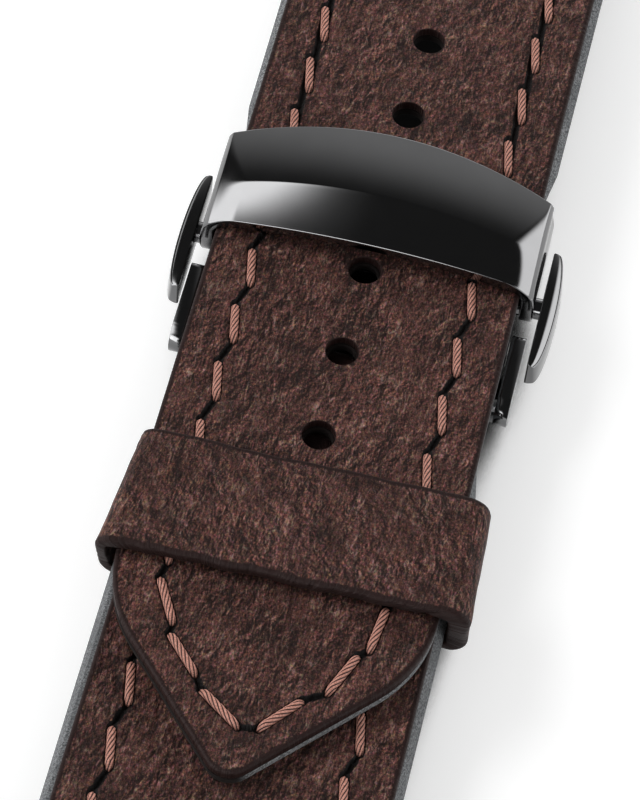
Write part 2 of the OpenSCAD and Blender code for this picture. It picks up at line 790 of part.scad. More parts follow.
// Spring bars: a tube with a sprung tip in each end
shank_r = tube_bore_d / 2 - run_gap;
collar_r = tube_d / 2;
tip_gap = 0.1;
clasp_nose_in = cheek_in - side_gap - 0.1;
clasp_nose_out = cheek_out - 0.05;
clasp_travel = clasp_nose_out - cheek_in + 0.05;
lug_nose_in = lug_hw;
lug_nose_out = lug_hw + nose_l;
lug_travel = nose_l + 0.1;
shank_l = 3.6;

function tube_hw(nose_in, travel) = nose_in - collar_t - travel - tip_gap;

module bar_tube(y, z, half_width) {
    color(metal) place() translate([0, y, z]) difference() {
        rod(tube_d / 2, -half_width, half_width);
        rod(tube_bore_d / 2, -half_width - cut, half_width + cut);
    }
}

module bar_tip(y, z, side, nose_in, nose_out, half_width) {
    color(metal) place() translate([0, y, z]) mirror([side < 0 ? 1 : 0, 0, 0]) {
        rod(nose_d / 2, nose_in, nose_out);
        rod(collar_r, nose_in - collar_t, nose_in);
        rod(shank_r, half_width - shank_l, nose_in - collar_t);
    }
}

module bar_spring(y, z, half_width) {
    end = half_width - shank_l - skin;
    color(spring_steel) place() translate([0, y, z])
        coil(-end, end, tube_bore_d / 2 - wire_d / 2 - 0.06, 9);
}

clasp_tube_hw = tube_hw(clasp_nose_in, clasp_travel);
lug_tube_hw = tube_hw(lug_nose_in, lug_travel);

module clasp_bar_tube() {
    bar_tube(-clasp_bar_y, clasp_bar_z, clasp_tube_hw);
}

module clasp_bar_tip_left() {
    bar_tip(-clasp_bar_y, clasp_bar_z, -1, clasp_nose_in, clasp_nose_out, clasp_tube_hw);
}

module clasp_bar_tip_right() {
    bar_tip(-clasp_bar_y, clasp_bar_z, 1, clasp_nose_in, clasp_nose_out, clasp_tube_hw);
}

module clasp_bar_spring() {
    bar_spring(-clasp_bar_y, clasp_bar_z, clasp_tube_hw);
}

module long_bar_tube() {
    bar_tube(long_bar_y, lug_bar_z, lug_tube_hw);
}

module long_bar_tip_left() {
    bar_tip(long_bar_y, lug_bar_z, -1, lug_nose_in, lug_nose_out, lug_tube_hw);
}

module long_bar_tip_right() {
    bar_tip(long_bar_y, lug_bar_z, 1, lug_nose_in, lug_nose_out, lug_tube_hw);
}

module long_bar_spring() {
    bar_spring(long_bar_y, lug_bar_z, lug_tube_hw);
}

module short_bar_tube() {
    bar_tube(short_bar_y, lug_bar_z, lug_tube_hw);
}

module short_bar_tip_left() {
    bar_tip(short_bar_y, lug_bar_z, -1, lug_nose_in, lug_nose_out, lug_tube_hw);
}

module short_bar_tip_right() {
    bar_tip(short_bar_y, lug_bar_z, 1, lug_nose_in, lug_nose_out, lug_tube_hw);
}

module short_bar_spring() {
    bar_spring(short_bar_y, lug_bar_z, lug_tube_hw);
}

long_outer();
long_lining();
long_padding();
long_stitching();
tail_outer();
tail_lining();
tail_stitching();
short_outer();
short_lining();
short_padding();
short_stitching();
keeper_loop();
keeper_staple();
buckle_cover();
latch_housing();
strap_post();
buckle_hinge_pin();
push_button_left();
push_button_right();
button_rod_left();
button_rod_right();
latch_hook_left();
latch_hook_right();
button_spring();
lower_blade();
fold_hinge_pin();
upper_blade();
clasp_bar_tube();
clasp_bar_tip_left();
clasp_bar_tip_right();
clasp_bar_spring();
long_bar_tube();
long_bar_tip_left();
long_bar_tip_right();
long_bar_spring();
short_bar_tube();
short_bar_tip_left();
short_bar_tip_right();
short_bar_spring();
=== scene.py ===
"""Leather watch strap with a folding push-button clasp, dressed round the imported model.

The leathers, thread, keeper, cover and buttons are surfaces worked out here on grids of points. Until
piece() brings them to metres, lengths are in millimetres, y is counted along the strap from the clasp's
post, and z from the table.
"""
import json

import bmesh
import bpy
import numpy as np
from mathutils import Matrix, Vector


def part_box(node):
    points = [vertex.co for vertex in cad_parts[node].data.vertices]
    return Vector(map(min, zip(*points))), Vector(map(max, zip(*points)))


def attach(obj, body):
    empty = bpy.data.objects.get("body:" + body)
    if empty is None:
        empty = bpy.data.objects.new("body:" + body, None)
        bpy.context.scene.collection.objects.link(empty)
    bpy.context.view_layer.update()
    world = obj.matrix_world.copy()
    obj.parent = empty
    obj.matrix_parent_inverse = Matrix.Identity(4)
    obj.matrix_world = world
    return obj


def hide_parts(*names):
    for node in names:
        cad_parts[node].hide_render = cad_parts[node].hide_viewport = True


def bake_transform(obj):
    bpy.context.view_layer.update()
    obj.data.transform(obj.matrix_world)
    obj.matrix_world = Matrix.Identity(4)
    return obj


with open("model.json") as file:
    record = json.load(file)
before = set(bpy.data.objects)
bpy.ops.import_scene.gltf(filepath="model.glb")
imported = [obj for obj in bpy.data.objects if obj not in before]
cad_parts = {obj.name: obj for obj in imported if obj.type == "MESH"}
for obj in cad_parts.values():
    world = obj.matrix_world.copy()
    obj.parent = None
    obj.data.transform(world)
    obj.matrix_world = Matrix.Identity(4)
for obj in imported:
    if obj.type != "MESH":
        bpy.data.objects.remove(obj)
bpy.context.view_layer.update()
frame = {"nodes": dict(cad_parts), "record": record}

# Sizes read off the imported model

MM = 1000.0
X, Y, Z = range(3)
WHITE = (1.0, 1.0, 1.0, 1.0)


def raw_box(node):
    """A CAD node's lowest and highest corner in the row frame, in mm."""
    return [MM * np.array(corner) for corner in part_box(node)]


POST_Y = sum(corner[Y] for corner in raw_box("strap_post")) / 2


def span(node, axis):
    """A CAD node's lowest and highest coordinate along one axis, in mm, with y counted from the post."""
    shift = POST_Y if axis == Y else 0.0
    low, high = raw_box(node)
    return low[axis] - shift, high[axis] - shift


def middle(node, axis):
    """The middle of a CAD node along one axis."""
    return sum(span(node, axis)) / 2


tail_hw = span("tail_outer", X)[1]
tail_low, tail_mid = span("tail_lining", Z)
tail_top = span("tail_outer", Z)[1]
tip_y, split_y = span("tail_outer", Y)
lug_hw = span("long_lining", X)[1]
long_bar_y = middle("long_bar_tube", Y)
short_bar_y = middle("short_bar_tube", Y)
lug_bar_z = middle("long_bar_tube", Z)
clasp_bar_y = middle("clasp_bar_tube", Y)
clasp_bar_z = middle("clasp_bar_tube", Z)
tube_r = np.ptp(span("long_bar_tube", Z)) / 2
cheek_out = span("buckle_cover", X)[1]
pad_t = 2 * lug_bar_z

# Leather, as in the part's source: its layers, the lining's bevel and the row of holes
tail_t = tail_top - tail_low
outer_t = tail_top - tail_mid
lining_t = tail_mid - tail_low
bevel = 0.5
short_t = 2.2
short_layer = short_t / 2
short_low = clasp_bar_z - short_layer
short_len = clasp_bar_y - short_bar_y
hole_pitch = 6.5
hole_r = 1.05
holes_each_side = 3
upper_holes = [i * hole_pitch for i in range(holes_each_side + 1)]
lower_holes = [-i * hole_pitch for i in range(1, holes_each_side + 1)]
# How much closer the short half's left edge is cut, so that more of the lining shows beside it
left_trim = 0.35

# Cell size near holes, and how many columns on each side of the middle stand such a cell apart
fine = hole_pitch / 44
core_columns = 15
# The ring of cells that is bent to a hole's edge, and the last one that is bent at all
hole_ring, square_ring = 6, 13
# The radii that round the leather's edges and its holes'
edge_round = 0.22
hole_round = 0.07

# Stitches
seam_inset = 2.9
seam_band = 0.75
stitch_l = 2.8
tip_stitch_l = 3.3
stitch_pitch = 4.5
thread_r = 0.27
# Half of a stitch's slant across its seam, and how far the tip's stitches lean
zigzag = 0.27
tip_lean = 0.16
# The thread's plies, the share of its radius that is lost between them, and points round it
plies, ply_groove, around = 6, 0.30, 36
# Slits between the stitches: half width, how much wider their middles are, depth, and their slopes' width
slit_hw, slit_swell, slit_depth, slit_slope = 0.12, 0.10, 0.28, 0.17
# The thread's bed: how far it reaches beside the thread, its depth, and its slope's start and width
bed_gap, bed_depth, bed_edge, bed_slope = 0.03, 0.05, 0.06, 0.12


def smooth(t):
    """A rise from 0 to 1 with level ends: half a cosine wave."""
    return (1 - np.cos(np.pi * np.clip(t, 0, 1))) / 2


def points_of(*axes):
    """Points from their coordinates, which are spread out to one shape."""
    return np.stack(np.broadcast_arrays(*axes), -1)


def crown(u):
    """The cushion across a padded half: 1 at the middle, falling with the cube to 0 at the edges."""
    return 1 - np.abs(np.clip(u, -1, 1)) ** 3


# The two halves' outlines and heights, in mm from the post or, with down(y), from the clasp bar

wide_start, wide_run = 2.2, 3.0
lug_run = 12.0
long_fall_start, long_fall_run = 16, 42
long_pad_start, long_pad_run = 17, 30
neck_l, neck_run = 3.4, 4
# What the short half's leathers lack in width at the arms, and beyond them
neck_outer_less, neck_lining_less, short_less = 0.5, 0.25, 0.05
short_level, short_fall_run = 38, 26
short_pad_start, short_pad_run = 37, 24


def padded_top(low, thin, middle_share, edge_share, u):
    """A padded half's top: its thickness grows from the thin one in half cosine waves, in the middle sooner
    than at the edges, and the crown joins the two."""
    middle_t, edge_t = (thin + (pad_t - thin) * smooth(share) for share in (middle_share, edge_share))
    return low + edge_t + np.clip(middle_t - edge_t, 0, None) * crown(u)


def long_low(y):
    """The long half's underside, falling to the table in a half cosine wave."""
    return tail_low * (1 - smooth((y - long_fall_start) / long_fall_run))


def long_outer_hw(y):
    """Half width of the outer leather, growing with the square of the distance to the lug bar's."""
    return tail_hw + (lug_hw - tail_hw) * (np.clip(y - wide_start, 0, None) / (long_bar_y - wide_start)) ** 2


def long_lining_hw(y):
    """Half width of the lining: a bevel wider after a short run, then straight to the lug bar's."""
    step = bevel * np.clip((y - wide_start) / wide_run, 0, 1)
    rest = np.clip((y - wide_start - wide_run) / (long_bar_y - wide_start - wide_run), 0, 1)
    return tail_hw + step + (lug_hw - tail_hw - bevel) * rest


def long_top(x, y):
    """The long half's top."""
    return padded_top(long_low(y), tail_t, (y - long_pad_start) / long_pad_run,
                      (y - long_bar_y + lug_run) / lug_run, x / long_outer_hw(y))


def down(y):
    """Distance from the clasp bar along the short half."""
    return clasp_bar_y - y


def short_low_at(y):
    """The short half's underside, level at first and then falling to the table."""
    return short_low * (1 - smooth((down(y) - short_level) / short_fall_run))


def short_taper(y):
    """0 along the level part, growing to 1 at the lug bar."""
    return np.clip((down(y) - short_level) / (short_len - short_level), 0, None)


def neck(y, narrow, full):
    """Half width beside the arms, growing to the full one beyond them."""
    return narrow + (full - narrow) * np.clip((down(y) - neck_l) / neck_run, 0, 1)


def short_lining_hw(y):
    """Half width of the short half's lining."""
    start = neck(y, tail_hw - neck_lining_less, tail_hw + bevel - short_less)
    return start + (lug_hw - tail_hw - bevel + short_less) * short_taper(y)


def short_outer_hw(y):
    """Half width of the short half's outer leather."""
    start = neck(y, tail_hw - neck_outer_less, tail_hw - short_less)
    return start + (lug_hw - tail_hw + short_less) * short_taper(y) ** 2


def short_top(x, y):
    """The short half's top."""
    return padded_top(short_low_at(y), short_t, (down(y) - short_pad_start) / short_pad_run,
                      (down(y) - short_len + lug_run) / lug_run, x / short_outer_hw(y))


# The tip: a curve turns the sides by an angle into straight flanks, and a small round nose ends them
tip_side_r, tip_angle, tip_nose_r = 9.0, np.radians(43), 1.6
nose_mid_y = tip_y + tip_nose_r
flank_x = tail_hw - tip_side_r * (1 - np.cos(tip_angle))
flank_l = (flank_x - tip_nose_r * np.cos(tip_angle)) / np.sin(tip_angle)
flank_y = nose_mid_y - tip_nose_r * np.sin(tip_angle) + flank_l * np.cos(tip_angle)
curve_y = flank_y + tip_side_r * np.sin(tip_angle)


def tip_outline(inset):
    """The tip's right side from the nose up, moved inwards by inset: points of the nose's arc, then of the
    curve that joins the flank to the side."""
    nose = np.linspace(np.pi / 2, tip_angle, 12)
    turn = np.linspace(tip_angle, 0, 24)
    r = tip_nose_r - inset
    x_nose, y_nose = r * np.cos(nose), nose_mid_y - r * np.sin(nose)
    r = tip_side_r - inset
    x_turn = tail_hw - tip_side_r + r * np.cos(turn)
    y_turn = curve_y - r * np.sin(turn)
    return np.r_[x_nose, x_turn, tail_hw - inset], np.r_[y_nose, y_turn, split_y + 1]


def tail_rim(x, y):
    """Distance from the tail's outline: the least distance to the outline's sampled points."""
    xs, ys = tip_outline(0.0)
    rows = np.linspace(ys[0], curve_y + 0.2, 300)
    edge, here = points_of(np.interp(rows, ys, xs), rows), points_of(np.abs(x).ravel(), y.ravel())
    at_tip = here[:, Y] < curve_y + 1
    near = np.array([np.hypot(*(edge - point).T).min() for point in here[at_tip]])
    distance = tail_hw - here[:, X]
    distance[at_tip] = np.minimum(near, distance[at_tip])
    return distance.reshape(x.shape)


# Meshes

def ripple(x, y, size, seed):
    """Smooth random heights from -1 to 1: random numbers on a lattice of the given size in mm, joined by
    eased steps."""
    count = 97
    lattice = np.random.default_rng(seed).uniform(-1, 1, (count, count))
    u, v = x / size + 10 * count, y / size + 10 * count
    i, j = np.floor(u).astype(int), np.floor(v).astype(int)
    f, g = u - i, v - j
    f, g = f * f * (3 - 2 * f), g * g * (3 - 2 * g)
    a, b, c, d = (lattice[(i + m) % count, (j + n) % count] for n in (0, 1) for m in (0, 1))
    return (a * (1 - f) + b * f) * (1 - g) + (c * (1 - f) + d * f) * g


def cells(rows, columns, closed=False):
    """Four-sided faces of a grid of points, whose rows join up where closed. Seen with the columns to the
    right and the rows upwards, they face the viewer."""
    last = rows if closed else rows - 1
    r, c = np.meshgrid(np.arange(last), np.arange(columns - 1), indexing="ij")
    low, high = r * columns + c, (r + 1) % rows * columns + c
    return np.stack([low, low + 1, high + 1, high], -1)


def unit(vectors):
    """Vectors brought to length 1."""
    return vectors / np.maximum(np.linalg.norm(vectors, axis=-1, keepdims=True), 1e-9)


def shell(outer, inner, quads, round_out, round_down, under_down, rings=4):
    """A closed sheet between two surfaces of the same faces. Its rim stands out from both by round_out, and
    follows a quarter ellipse down from the outer one and another up to the inner one. round_out and
    round_down may be given point by point. It gives the points, the faces, and for each point the surface
    point it comes from."""
    outer, inner, quads = outer.reshape(-1, 3), inner.reshape(-1, 3), quads.reshape(-1, 4)
    count = len(outer)
    ends = np.stack([quads, np.roll(quads, -1, 1)], -1).reshape(-1, 2)
    codes, back = ends[:, 0] * count + ends[:, 1], ends[:, 1] * count + ends[:, 0]
    rim = ends[~np.isin(back, codes)]
    edge_points = np.unique(rim)
    first, second = rim.T
    up = unit(outer - inner)
    out = np.zeros_like(outer)
    side = unit(np.cross(unit(outer[second] - outer[first]), up[first]))
    np.add.at(out, first, side)
    np.add.at(out, second, side)
    out = unit(out)
    points, source = [outer, inner], [np.arange(count), np.arange(count)]
    o, i, n, w = outer[edge_points], inner[edge_points], out[edge_points], up[edge_points]
    round_out, round_down = (np.broadcast_to(np.reshape(size, (-1, 1)), (count, 1))[edge_points]
                             for size in (round_out, round_down))
    for angle in np.linspace(0, np.pi / 2, rings + 1)[1:]:
        points.append(o + n * round_out * np.sin(angle) - w * round_down * (1 - np.cos(angle)))
    for angle in np.linspace(np.pi / 2, 0, rings + 1)[:-1]:
        points.append(i + n * round_out * np.sin(angle) + w * under_down * (1 - np.cos(angle)))
    source += [edge_points] * (2 * rings)
    # The wall's lines of points, from the outer surface's edge to the inner one's
    lines = [rim.T, *(2 * count + ring * len(edge_points) + np.searchsorted(edge_points, rim.T)
                      for ring in range(2 * rings)), rim.T + count]
    walls = [np.stack([high[0], low[0], low[1], high[1]], -1) for high, low in zip(lines, lines[1:])]
    faces = np.concatenate([quads, quads[:, ::-1] + count] + walls)
    return np.concatenate(points), faces, np.concatenate(source)


def thread_tube(path, radius):
    """A closed tube along a path: rings of points round it, each turned by one point against the last. The
    radius falls by the share ply_groove between the plies. It gives the points, faces and each point's
    share of the groove."""
    ahead = unit(np.gradient(path, axis=0))
    side = unit(np.cross(ahead, [0.0, 0.0, 1.0]))
    above = np.cross(side, ahead)
    angles = np.linspace(0, 2 * np.pi, around, endpoint=False)
    turned = angles + 2 * np.pi / around * np.arange(len(path))[:, None]
    deep = 1 - np.abs(np.cos(plies * turned / 2)) ** 0.6
    r = radius[:, None] * (1 - ply_groove * deep)
    points = (path[:, None] + side[:, None] * (r * np.cos(angles))[..., None]
              + above[:, None] * (r * np.sin(angles))[..., None])
    ring = np.arange(around)
    after = (ring + 1) % around
    rows = np.arange(len(path) - 1)[:, None] * around
    walls = np.stack([rows + ring, rows + after, rows + around + after, rows + around + ring], -1)
    k = np.arange(around // 2 - 1)
    cap = np.stack([k, k + 1, around - 2 - k, around - 1 - k], -1)
    faces = np.concatenate([walls.reshape(-1, 4), cap[:, ::-1], cap + (len(path) - 1) * around])
    return points.reshape(-1, 3), faces, deep.ravel()


# What the record says of each node
slots = {part["node"]: part["material_slot"] for part in frame["record"]["subparts"]}
body_of = {node: body for body, nodes in frame["record"]["behaviour"]["bodies"].items() for node in nodes}


def placed(name, data):
    """A new object in the scene, at the origin."""
    made = bpy.data.objects.new(name, data)
    bpy.context.scene.collection.objects.link(made)
    return made


# When the clasp opens, the tail stays in the keeper and bends between these two places, given in metres;
# nothing in this script uses them
bend_ends = [(0, (y + POST_Y) / MM, tail_low / MM) for y in (-10.0, -17.0)]


def dressed(name, data, node):
    """A visible piece that stands for a CAD node: it gets the paint of the node's slot and rides on the
    node's body or, for a tail piece, keeps its place with its transform applied."""
    data.materials.clear()
    data.materials.append(paints[slots[node]])
    made = placed(name, data)
    if node.startswith("tail_"):
        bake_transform(made)
    else:
        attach(made, body_of[node])
    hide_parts(node)
    return made


def piece(name, node, points, faces, marks=None):
    """A visible piece from points and faces. marks are values kept on its points, one number or three each,
    for its material."""
    data = bpy.data.meshes.new(name)
    metres = (np.asarray(points) + [0, POST_Y, 0]) / MM
    data.vertices.add(len(metres))
    data.vertices.foreach_set("co", metres.astype(np.float32).ravel())
    data.loops.add(faces.size)
    data.loops.foreach_set("vertex_index", faces.astype(np.int32).ravel())
    data.polygons.add(len(faces))
    data.polygons.foreach_set("loop_start", np.arange(0, faces.size, 4, dtype=np.int32))
    data.polygons.foreach_set("use_smooth", np.ones(len(faces), bool))
    data.update(calc_edges=True)
    for key, values in (marks or {}).items():
        kind, field = ("FLOAT", "value") if values.ndim == 1 else ("FLOAT_VECTOR", "vector")
        data.attributes.new(key, kind, "POINT").data.foreach_set(field, values.astype(np.float32).ravel())
    return dressed(name, data, node)


# Shader maths and nodes

class Value:
    """A socket's value. Arithmetic on it adds Math nodes to its material."""

    def __init__(self, paint, socket):
        self.paint, self.socket = paint, socket

    def __add__(self, other): return self.paint.maths("ADD", self, other)
    def __radd__(self, other): return self.paint.maths("ADD", other, self)
    def __sub__(self, other): return self.paint.maths("SUBTRACT", self, other)
    def __rsub__(self, other): return self.paint.maths("SUBTRACT", other, self)
    def __mul__(self, other): return self.paint.maths("MULTIPLY", self, other)
    def __rmul__(self, other): return self.paint.maths("MULTIPLY", other, self)
    def __pow__(self, other): return self.paint.maths("POWER", self, other)


class Paint:
    """One material, or the world, whose nodes come from node()."""

    def __init__(self, name, world=None):
        self.material = world or bpy.data.materials.new(name)
        self.material.use_nodes = True
        self.tree = self.material.node_tree
        self.tree.nodes.clear()
        self.ending = "OutputWorld" if world else "OutputMaterial"

    def node(self, kind, settings=None, inputs=None, out=0):
        """Adds a node of a type, sets its settings and then its sockets, and gives one output's value."""
        made = self.tree.nodes.new("ShaderNode" + kind)
        for key, value in (settings or {}).items():
            setattr(made, key, value)
        for key, value in (inputs or {}).items():
            if isinstance(value, Value):
                self.tree.links.new(value.socket, made.inputs[key])
            else:
                made.inputs[key].default_value = value
        return Value(self, made.outputs[out]) if made.outputs else None

    def maths(self, operation, *values):
        """A Math node's value."""
        return self.node("Math", {"operation": operation}, dict(enumerate(values)))

    def vectors(self, operation, *values):
        """A Vector Math node's value."""
        return self.node("VectorMath", {"operation": operation}, dict(enumerate(values)))

    def scaled(self, vector, factor):
        """A vector, or a colour, times a number."""
        return self.node("VectorMath", {"operation": "SCALE"}, {0: vector, "Scale": factor})

    def mark(self, name, out=2):
        """A mark kept on the points: a number, or a vector with out=1."""
        return self.node("Attribute", {"attribute_name": name}, out=out)

    def object_mm(self):
        """The place on the piece, in mm."""
        return self.scaled(self.node("TexCoord", out="Object"), MM)

    def noise(self, place, size, detail=2.0, roughness=0.5, distortion=0.0, out=0):
        """Noise with lumps of the given size: a number, or a colour with out=1."""
        return self.node("TexNoise", None, {"Vector": place, "Scale": 1 / size, "Detail": detail,
                                            "Roughness": roughness, "Distortion": distortion}, out)

    def rise(self, value, start, end):
        """0 below start and 1 above end, or the other way round where start is the larger."""
        low, high = sorted((start, end))
        return self.node("MapRange", {"interpolation_type": "SMOOTHSTEP"},
                         {0: value, 1: low, 2: high, 3: float(start > end), 4: float(start < end)})

    def mix(self, factor, a, b):
        """From colour a to colour b."""
        a = a if isinstance(a, Value) else (*a, 1.0)
        b = b if isinstance(b, Value) else (*b, 1.0)
        return self.node("Mix", {"data_type": "RGBA"}, {0: factor, 6: a, 7: b}, out=2)

    def finish(self, **sockets):
        """Ends the material in a Principled shader with these sockets."""
        named = {key.replace("_", " "): value for key, value in sockets.items()}
        return self.end_in(self.node("BsdfPrincipled", None, named))

    def bump(self, strength, depth, height):
        """A normal bent by a height, which is depth metres at 1."""
        return self.node("Bump", None, {"Strength": strength, "Distance": depth, "Height": height})

    def end_in(self, shader):
        """Links a shader to the material's or the world's surface."""
        self.node(self.ending, None, {"Surface": shader})
        return self.material


def leather_paint(name):
    """Waxed leather: dark and tan flecks, small shifts of hue, painted light and shade of a wrinkled relief,
    as the difference between a noise and the same noise a little to one side, pale creases, stained patches,
    painted shade near-black in the slits and beside the thread, and painted edges."""
    p = Paint(name)
    place = p.mark("grain", 1)
    along = p.node("Mapping", None, {"Vector": place, "Scale": (1.0, 0.55, 1.0)})
    long = p.node("Mapping", None, {"Vector": place, "Scale": (1.0, 0.30, 1.0)})
    fleck = p.noise(along, 0.13, 3.0, 0.72)
    grit = p.noise(place, 0.085, 1.0)
    streak = p.noise(long, 0.13, 2.0, 0.6, 0.3)
    lumps = p.noise(along, 0.34)
    clump = p.noise(along, 0.75, 2.0, 0.6)
    drift = p.noise(place, 3.0, 3.0, 0.6)
    # Painted light and shade: a wrinkled relief lit from one side, as a noise less the same noise shifted a
    # little
    aside = p.vectors("ADD", along, (0.09, -0.04, 0.0))
    relief = p.noise(along, 0.60, 4.0, 0.62, 0.25) - p.noise(aside, 0.60, 4.0, 0.62, 0.25)
    # Creases: edges of stretched Voronoi cells, and where a stretched noise crosses its middle value
    wander = p.noise(along, 1 / 1.4, out=1)
    bent = p.vectors("MULTIPLY_ADD", wander, (0.5, 0.2, 0.0), long)
    cell = p.node("TexVoronoi", {"feature": "DISTANCE_TO_EDGE"}, {"Vector": bent, "Scale": 1 / 0.46})
    vein = p.rise(cell, 0.10, 0.015) * p.rise(p.noise(place, 0.70), 0.50, 0.64)
    across = p.maths("ABSOLUTE", p.noise(long, 0.70, 3.0, 0.50, 0.2) - 0.5)
    fold = p.rise(across, 0.034, 0.004) * p.rise(p.noise(along, 1.1), 0.50, 0.62)
    crease = p.maths("MAXIMUM", vein, fold)
    # Colours, from the darkest flecks to the creases
    colour = p.mix(p.rise(fleck, 0.34, 0.56), (0.019, 0.0080, 0.0070), (0.060, 0.0265, 0.0205))
    colour = p.mix(p.rise(fleck, 0.52, 0.72) * 0.60, colour, (0.205, 0.108, 0.084))
    colour = p.mix(p.rise(streak, 0.56, 0.72) * 0.20, colour, (0.250, 0.150, 0.112))
    colour = p.mix(p.rise(streak, 0.44, 0.30) * 0.45, colour, (0.012, 0.0052, 0.0046))
    colour = p.mix(crease * 0.32, colour, (0.300, 0.190, 0.145))
    hue = p.noise(place, 0.17, 2.0, 0.65, out=1)
    hue = p.vectors("MULTIPLY_ADD", hue, (1.4, 1.4, 1.6), (0.30, 0.28, 0.21))
    colour = p.vectors("MULTIPLY", colour, hue)
    # The relief's painted light and shade is stronger in some patches than in others
    relief_light_strength = p.rise(p.noise(place, 2.2), 0.36, 0.64) * 8.0 + 5.5
    # Random tone from the noises, plus the relief's painted light and shade
    shade = clump * 1.9 + drift * 2.3 + lumps * 0.8 + grit * 1.6 + relief * relief_light_strength - 2.37
    colour = p.scaled(colour, p.maths("MAXIMUM", shade, 0.22))
    # Painted edges, and painted shade near-black in the slits and along the thread's bed, with boundaries
    # that wander with the flecks
    rim = p.rise(p.mark("rim") + (fleck - 0.5) * 0.35, 0.40, 0.26)
    colour = p.mix(rim, colour, (0.0125, 0.0052, 0.0045))
    # Painted shade: near-black in the recessed slits and in the thread's bed
    slit = p.rise(p.mark("groove") + (fleck - 0.5) * 0.16, 0.06, 0.01)
    colour = p.mix(slit, colour, (0.0016, 0.0010, 0.0009))
    bump = p.bump(1.0, 0.00011, fleck * 0.6 + streak * 0.4 + crease * 0.55 + lumps * 1.2 + clump * 2.2)
    return p.finish(Base_Color=colour, Roughness=0.70 - fleck * 0.18, Specular_IOR_Level=0.16, Normal=bump)


def suede_paint(name):
    """Grey suede lining: soft mottling with dark and light specks and, where the mark "hole" asks for it,
    near-black colour: painted shade on the walls of its holes and just round them, and a darkened edge."""
    p = Paint(name)
    place = p.object_mm()
    fuzz = p.noise(place, 0.13, 2.0, 0.7)
    cloud = p.noise(place, 1.8)
    colour = p.mix(p.rise(fuzz, 0.34, 0.68), (0.070, 0.073, 0.076), (0.34, 0.35, 0.36))
    colour = p.mix(p.rise(cloud, 0.38, 0.66) * 0.4, colour, (0.14, 0.145, 0.15))
    # Painted shade in and round the holes, and the darkened edge, from the mark "hole"
    colour = p.mix(p.mark("hole"), colour, (0.006, 0.004, 0.0035))
    return p.finish(Base_Color=colour, Roughness=0.92, Specular_IOR_Level=0.2,
                    Normal=p.bump(0.7, 0.00005, fuzz))


def thread_paint(name):
    """Waxed thread: salmon plies with fine filaments, and painted shade, near-black, in the grooves between
    the plies and where the thread dives into the leather.
    """
    p = Paint(name)
    filament = p.noise(p.object_mm(), 0.09, 2.0, 0.6)
    colour = p.mix(p.rise(filament, 0.35, 0.7), (0.40, 0.175, 0.130), (0.66, 0.345, 0.275))
    # Painted shade in the ply grooves and at the dives, carried by the mark "deep"
    colour = p.mix(p.rise(p.mark("deep"), 0.26, 0.56), colour, (0.030, 0.011, 0.009))
    return p.finish(Base_Color=colour, Roughness=0.55 + filament * 0.1, Specular_IOR_Level=0.35,
                    Normal=p.bump(0.5, 0.00003, filament))


def felt_paint(name):
    """Padding of pressed fibre."""
    p = Paint(name)
    fibre = p.noise(p.object_mm(), 0.2, 3.0, 0.7)
    colour = p.mix(fibre, (0.16, 0.13, 0.11), (0.34, 0.30, 0.26))
    return p.finish(Base_Color=colour, Roughness=0.95)


def steel_paint(name, dark, light, rough):
    """Coated or bare steel: a faint cloud in its polish."""
    p = Paint(name)
    place = p.object_mm()
    haze = p.noise(place, 2.2, 3.0)
    return p.finish(Base_Color=p.mix(haze, dark, light), Metallic=1.0,
                    Roughness=rough + haze * 0.05 + p.noise(place, 0.12) * 0.03)


paints = {
    "outer_leather": leather_paint("waxed_leather"),
    "lining_leather": suede_paint("grey_suede"),
    "thread": thread_paint("salmon_thread"),
    "padding": felt_paint("felt_padding"),
    "black_steel": steel_paint("polished_black_coating", (0.150, 0.150, 0.152), (0.175, 0.175, 0.178), 0.07),
    "bar_steel": steel_paint("satin_steel", (0.42, 0.42, 0.43), (0.56, 0.56, 0.57), 0.26),
    "spring_steel": steel_paint("spring_wire", (0.46, 0.46, 0.48), (0.60, 0.60, 0.61), 0.2)}


# Stitches

def seam_row(side, middles, half_width):
    """Ends of straight stitches about the places middles along one side's seam. Each slants across the seam
    by the zigzag: as y falls, x grows, on both sides of the strap."""
    x = side * (half_width(middles) - seam_inset)
    return np.stack([points_of(x - zigzag, middles + stitch_l / 2),
                     points_of(x + zigzag, middles - stitch_l / 2)], 1)


def seam_along(corners, middles):
    """Ends of the tip's stitches, whose middles are places along a bent seam. Each leans across it."""
    corners = np.asarray(corners, float)
    run = np.r_[0, np.cumsum(np.hypot(*np.diff(corners, axis=0).T))]
    at = lambda s: points_of(*(np.interp(s, run, line) for line in corners.T))
    places = middles - tip_stitch_l / 2
    start, end = at(places), at(places + tip_stitch_l)
    left = unit(end - start) @ np.array([[0, 1], [-1, 0]])
    return np.stack([start - left * tip_lean, end + left * tip_lean], 1)


def distance_to(x, y, segments, swell=0.0):
    """Least distance from points to straight segments, and never over 1 mm. With swell, the segments are
    thicker by that much at their middles."""
    best = np.full(x.shape, 1.0)
    for (ax, ay), (bx, by) in segments:
        near = (x > min(ax, bx) - 1) & (x < max(ax, bx) + 1) & (y > min(ay, by) - 1) & (y < max(ay, by) + 1)
        px, py = x[near] - ax, y[near] - ay
        dx, dy = bx - ax, by - ay
        t = np.clip((px * dx + py * dy) / (dx * dx + dy * dy), 0, 1)
        best[near] = np.minimum(best[near], np.hypot(px - t * dx, py - t * dy) - swell * np.sin(np.pi * t))
    return best


def groove_field(x, y, stitches):
    """How far a point is outside the nearest slit, or the thread's bed, in mm. Slits run from each stitch's
    end to the next one's start."""
    slits = np.concatenate([np.stack([row[:-1, 1], row[1:, 0]], 1) for row in stitches])
    slit = distance_to(x, y, slits, slit_swell) - slit_hw
    bed = distance_to(x, y, np.concatenate(stitches)) - thread_r - bed_gap
    return np.minimum(slit, bed)


